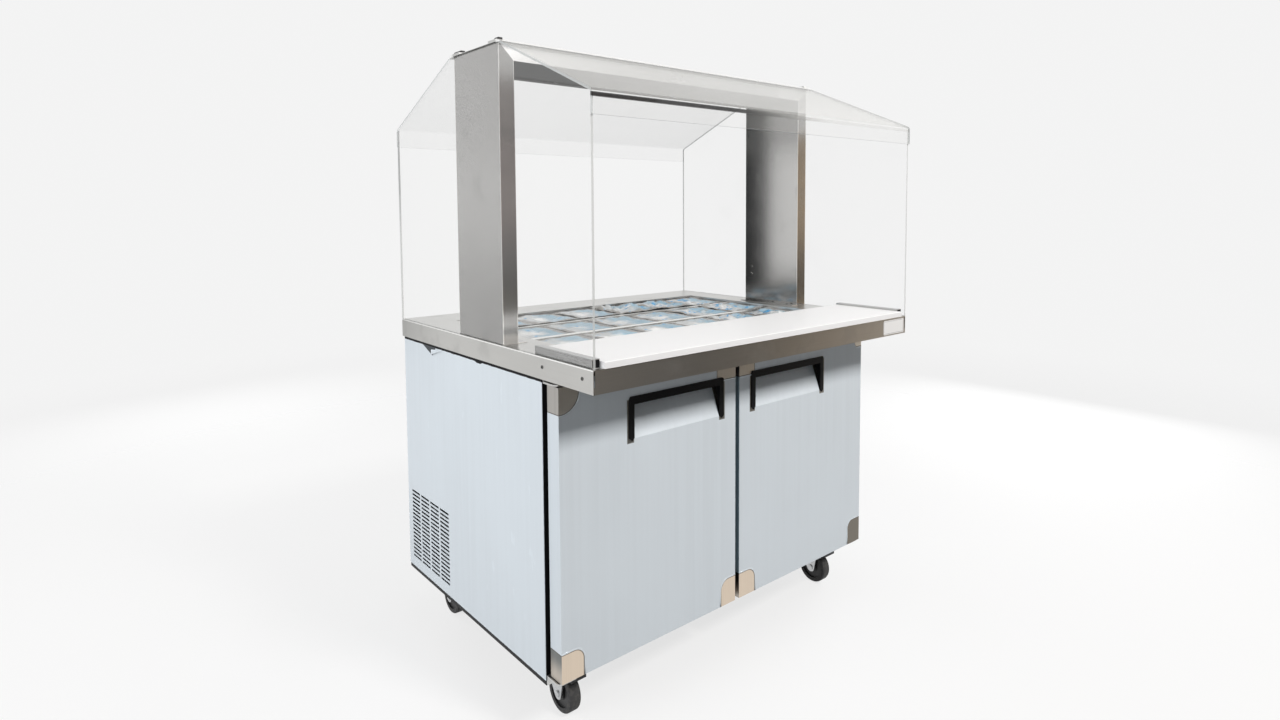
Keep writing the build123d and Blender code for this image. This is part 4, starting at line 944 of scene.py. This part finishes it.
def canopy_bend_reflection(finish):
    """Painted dark reflection just below the heat-bent line of the eave, fading toward the right."""
    up = finish.axis("Z")
    below_eave = up.over(eave_level - 0.0115, 0.0005) * up.under(eave_level - 0.0025, 0.0005)
    fading = 1.0 - finish.axis("X").step(-0.2, 0.25) * 0.85
    return below_eave * fading * (-finish.axis("Y")).over(lip_front, 0.001)


def guard_clip(name):
    """Black moulded clips, but for the front one at the right, which is a clear one."""
    finish = Finish(name)
    grain = finish.noise(900.0)
    clear = finish.axis("X").step(0.0, 0.1) * (-finish.axis("Y")).step(0.0, 0.05)
    finish.shade(Base_Color=finish.mix(clear, (0.012, 0.012, 0.013, 1), (0.70, 0.71, 0.70, 1)),
                 Roughness=0.36 + grain * 0.1, Specular_IOR_Level=0.3)
    return finish.bump(grain, 0.1, 0.0003)


dress(clear_acrylic("panel_acrylic", panel_edges, None, 0.03, 0.5, (0.84, 0.85, 0.83)),
      "end_panel_left", "end_panel_right")
dress(clear_acrylic("canopy_acrylic", canopy_edges, canopy_bend_reflection, 0.04, 0.85, (0.67, 0.675, 0.655)),
      "canopy_front", "canopy_rear")
dress(guard_clip("guard_clip_plastic"), "guard_clips")

# Sticker: a blank white vinyl label with a thin grey border, stuck on the front skirt's
# right end.

sticker_centre = Vector((0.535, -0.5002, 0.8875))
sticker_half_width = 0.055
sticker_half_height = 0.0215
sticker_round = 0.004


def vinyl(name):
    """White vinyl with a printed border line inside its edge."""
    finish = Finish(name)
    from_side = sticker_half_width - (finish.axis("X") - sticker_centre.x).size()
    from_end = sticker_half_height - (finish.axis("Z") - sticker_centre.z).size()
    inset = from_side.least(from_end)
    line = inset.step(0.0022, 0.0026) * inset.fade(0.0034, 0.0038)
    print_grain = finish.noise(300.0)
    finish.shade(Base_Color=finish.mix(line, (0.86, 0.86, 0.86, 1), (0.42, 0.43, 0.44, 1)),
                 Roughness=0.3 + print_grain * 0.1)
    return finish.bump(print_grain, 0.03, 0.0002)


sticker_mesh = bmesh.new()
corner_steps = 6
outline = []
for quarter, (toward_x, toward_z) in enumerate(((1, 1), (-1, 1), (-1, -1), (1, -1))):
    pivot_x = sticker_centre.x + toward_x * (sticker_half_width - sticker_round)
    pivot_z = sticker_centre.z + toward_z * (sticker_half_height - sticker_round)
    for number in range(corner_steps + 1):
        angle = math.pi / 2 * (quarter + number / corner_steps)
        outline.append(sticker_mesh.verts.new((pivot_x + sticker_round * math.cos(angle), sticker_centre.y,
                                               pivot_z + sticker_round * math.sin(angle))))
sticker_mesh.faces.new(outline)
sticker = thin_piece("sticker", sticker_mesh, vinyl("sticker_vinyl").material, 0.0002, 1.0, smooth=False)
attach(sticker, "table")

# Studio: a pale floor that fades into white, soft lamps on every side, two dark cards that
# only show in the steel, and the camera at the photographed view.

scene = bpy.context.scene
scene.view_settings.view_transform = "Standard"


def seen(finish):
    """Whether a ray comes from the eye, straight or by way of shiny or clear faces."""
    eye, mirror, clear = (finish.node("ShaderNodeLightPath", {}, {}, f"Is {kind} Ray")
                          for kind in ("Camera", "Glossy", "Transmission"))
    return (eye + mirror + clear).least(1.0)


floor_mesh = bpy.data.meshes.new("studio_floor")
floor_mesh.from_pydata([(-9, -9, 0), (9, -9, 0), (9, 9, 0), (-9, 9, 0)], [], [(0, 1, 2, 3)])
floor = new_object("studio_floor", floor_mesh)
floor_finish = Finish("studio_floor")
floor_x = floor_finish.axis("X")
floor_y = floor_finish.axis("Y")
floor_fade = (floor_x * floor_x + floor_y * floor_y).root().step(1.6, 5.5)
floor_mottle = floor_finish.noise(1.5)
floor_seen = seen(floor_finish)
floor_pale = floor_finish.mix(floor_mottle, (0.66, 0.66, 0.66, 1), (0.70, 0.70, 0.70, 1))
floor_finish.shade(Base_Color=floor_finish.mix(floor_seen, (0.10, 0.10, 0.10, 1), floor_pale),
                   Roughness=0.6 + floor_mottle * 0.1)
glow_share = 0.74
floor_glow = floor_finish.node("ShaderNodeEmission", {}, {"Color": (1.0, 1.0, 1.0, 1)})
floor_skin = floor_finish.node("ShaderNodeMixShader", {},
                               {0: floor_seen * glow_share, 2: floor_glow,
                                1: Wire(floor_finish, floor_finish.shader.outputs[0])})
floor_gone = floor_finish.node("ShaderNodeBsdfTransparent", {}, {})
floor_sheet = floor_finish.node("ShaderNodeMixShader", {}, {0: floor_fade, 1: floor_skin, 2: floor_gone})
floor_finish.feed(floor_finish.tree.nodes["Material Output"].inputs["Surface"], floor_sheet)
floor_mesh.materials.append(floor_finish.material)


def dark_card(name, corners):
    """Card that only shows in the steel: no light or shadow of its own reaches the object."""
    mesh = bpy.data.meshes.new(name)
    mesh.from_pydata(corners, [], [tuple(range(len(corners)))])
    card = new_object(name, mesh)
    card.visible_camera = False
    card.visible_diffuse = False
    card.visible_transmission = False
    card.visible_shadow = False
    finish = Finish(name)
    finish.shade(Roughness=0.9, Specular_IOR_Level=0.0)
    mesh.materials.append(finish.material)
    return finish


front_card_y = -1.5
front_outline = ((-0.7, 0.02), (2.6, 0.02), (2.6, 1.72), (2.2, 1.72), (2.2, 1.6), (0.45, 1.6), (0.45, 1.85),
                 (-0.7, 1.85))
front_card = dark_card("front_card", [(x, front_card_y, z) for x, z in front_outline])
card_x = front_card.axis("X")
card_z = front_card.axis("Z")
card_tone = front_card.mix(card_x.step(0.5, 2.4), (0.10, 0.088, 0.076, 1), (0.40, 0.30, 0.20, 1))
low_corner = card_x.fade(-0.1, 0.42) * card_z.fade(0.7, 0.95) * card_z.step(0.60, 0.70)
card_tone = front_card.mix(low_corner, card_tone, (0.62, 0.52, 0.42, 1))
foot_band = card_z.step(0.62, 0.70) * card_z.fade(0.75, 1.2) * card_x.step(1.9, 2.2)
card_tone = front_card.mix(foot_band * 0.65, card_tone, (0.05, 0.045, 0.04, 1))
tall_part = card_x.fade(0.3, 0.5) * card_z.step(0.9, 1.0)
tall_tone = front_card.mix(card_z.step(1.0, 1.3), (0.21, 0.19, 0.185, 1), (0.38, 0.315, 0.30, 1))
front_card.shade(Base_Color=front_card.mix(tall_part, card_tone, tall_tone))
rear_card_x = -0.9
rear_outline = ((1.25, 0.62), (1.8, 0.62), (1.8, 2.2), (1.25, 2.2))
rear_card = dark_card("rear_card", [(rear_card_x, y, z) for y, z in rear_outline])
rear_tone = rear_card.mix(rear_card.noise(3.0), (0.012, 0.014, 0.016, 1), (0.02, 0.022, 0.025, 1))
rear_card.shade(Base_Color=rear_tone)


class Sky(Finish):
    """The world's nodes, built around its own background."""

    def __init__(self, name):
        self.world = bpy.data.worlds.new(name)
        self.world.use_nodes = True
        self.tree = self.world.node_tree
        self.shader = self.tree.nodes["Background"]


sky = Sky("studio_world")
scene.world = sky.world
sky.shade(Color=(0.62, 0.63, 0.64, 1), Strength=0.2)
sky_white = sky.node("ShaderNodeBackground", {}, {"Color": (0.90, 0.90, 0.90, 1), "Strength": 1.0})
sky_mix = sky.node("ShaderNodeMixShader", {},
                   {0: seen(sky), 1: Wire(sky, sky.shader.outputs[0]), 2: sky_white})
sky.feed(sky.tree.nodes["World Output"].inputs["Surface"], sky_mix)


def soft_lamp(name, place, aim, width, power, colour=(1.0, 1.0, 1.0), mirrored=False):
    """Square area lamp aimed at a point, which shows in shiny faces only where it is told to."""
    lamp = bpy.data.lights.new(name, "AREA")
    lamp.shape = "SQUARE"
    lamp.size = width
    lamp.energy = power
    lamp.color = colour
    holder = new_object(name, lamp)
    holder.visible_glossy = mirrored
    holder.location = place
    holder.rotation_euler = (Vector(aim) - Vector(place)).to_track_quat("-Z", "Y").to_euler()


soft_lamp("left_lamp", (-3.7, -0.1, 1.6), (-0.4, 0.0, 0.7), 2.4, 94.0)
soft_lamp("front_lamp", (0.5, -3.65, 3.72), (0.0, -0.3, 0.7), 0.8, 184.0, (1.0, 0.97, 0.94), True)
soft_lamp("right_lamp", (3.5, 0.1, 1.2), (0.5, 0.0, 0.6), 1.8, 70.0)
soft_lamp("back_lamp", (-0.7, 4.0, 1.5), (0.0, 0.4, 0.6), 1.6, 70.0)
soft_lamp("top_lamp", (0.2, 0.3, 4.2), (0.0, 0.0, 0.9), 2.6, 5.0)

camera_data = bpy.data.cameras.new("photo_camera")
camera = new_object("photo_camera", camera_data)
scene.camera = camera
camera_data.sensor_width = 36.0
camera_data.lens = 20.952
camera_data.shift_y = -0.0799
yaw = math.radians(-39.85)
pitch = math.radians(3.67)
roll = math.radians(-0.35)
ahead = Vector((-math.sin(yaw) * math.cos(pitch), math.cos(yaw) * math.cos(pitch), -math.sin(pitch)))
camera.location = (-1.50366, -1.73652, 1.24744)
camera.rotation_euler = (ahead.to_track_quat("-Z", "Y").to_matrix().to_4x4()
                         @ Euler((0, 0, roll)).to_matrix().to_4x4()).to_euler()
camera_data.clip_end = 60.0
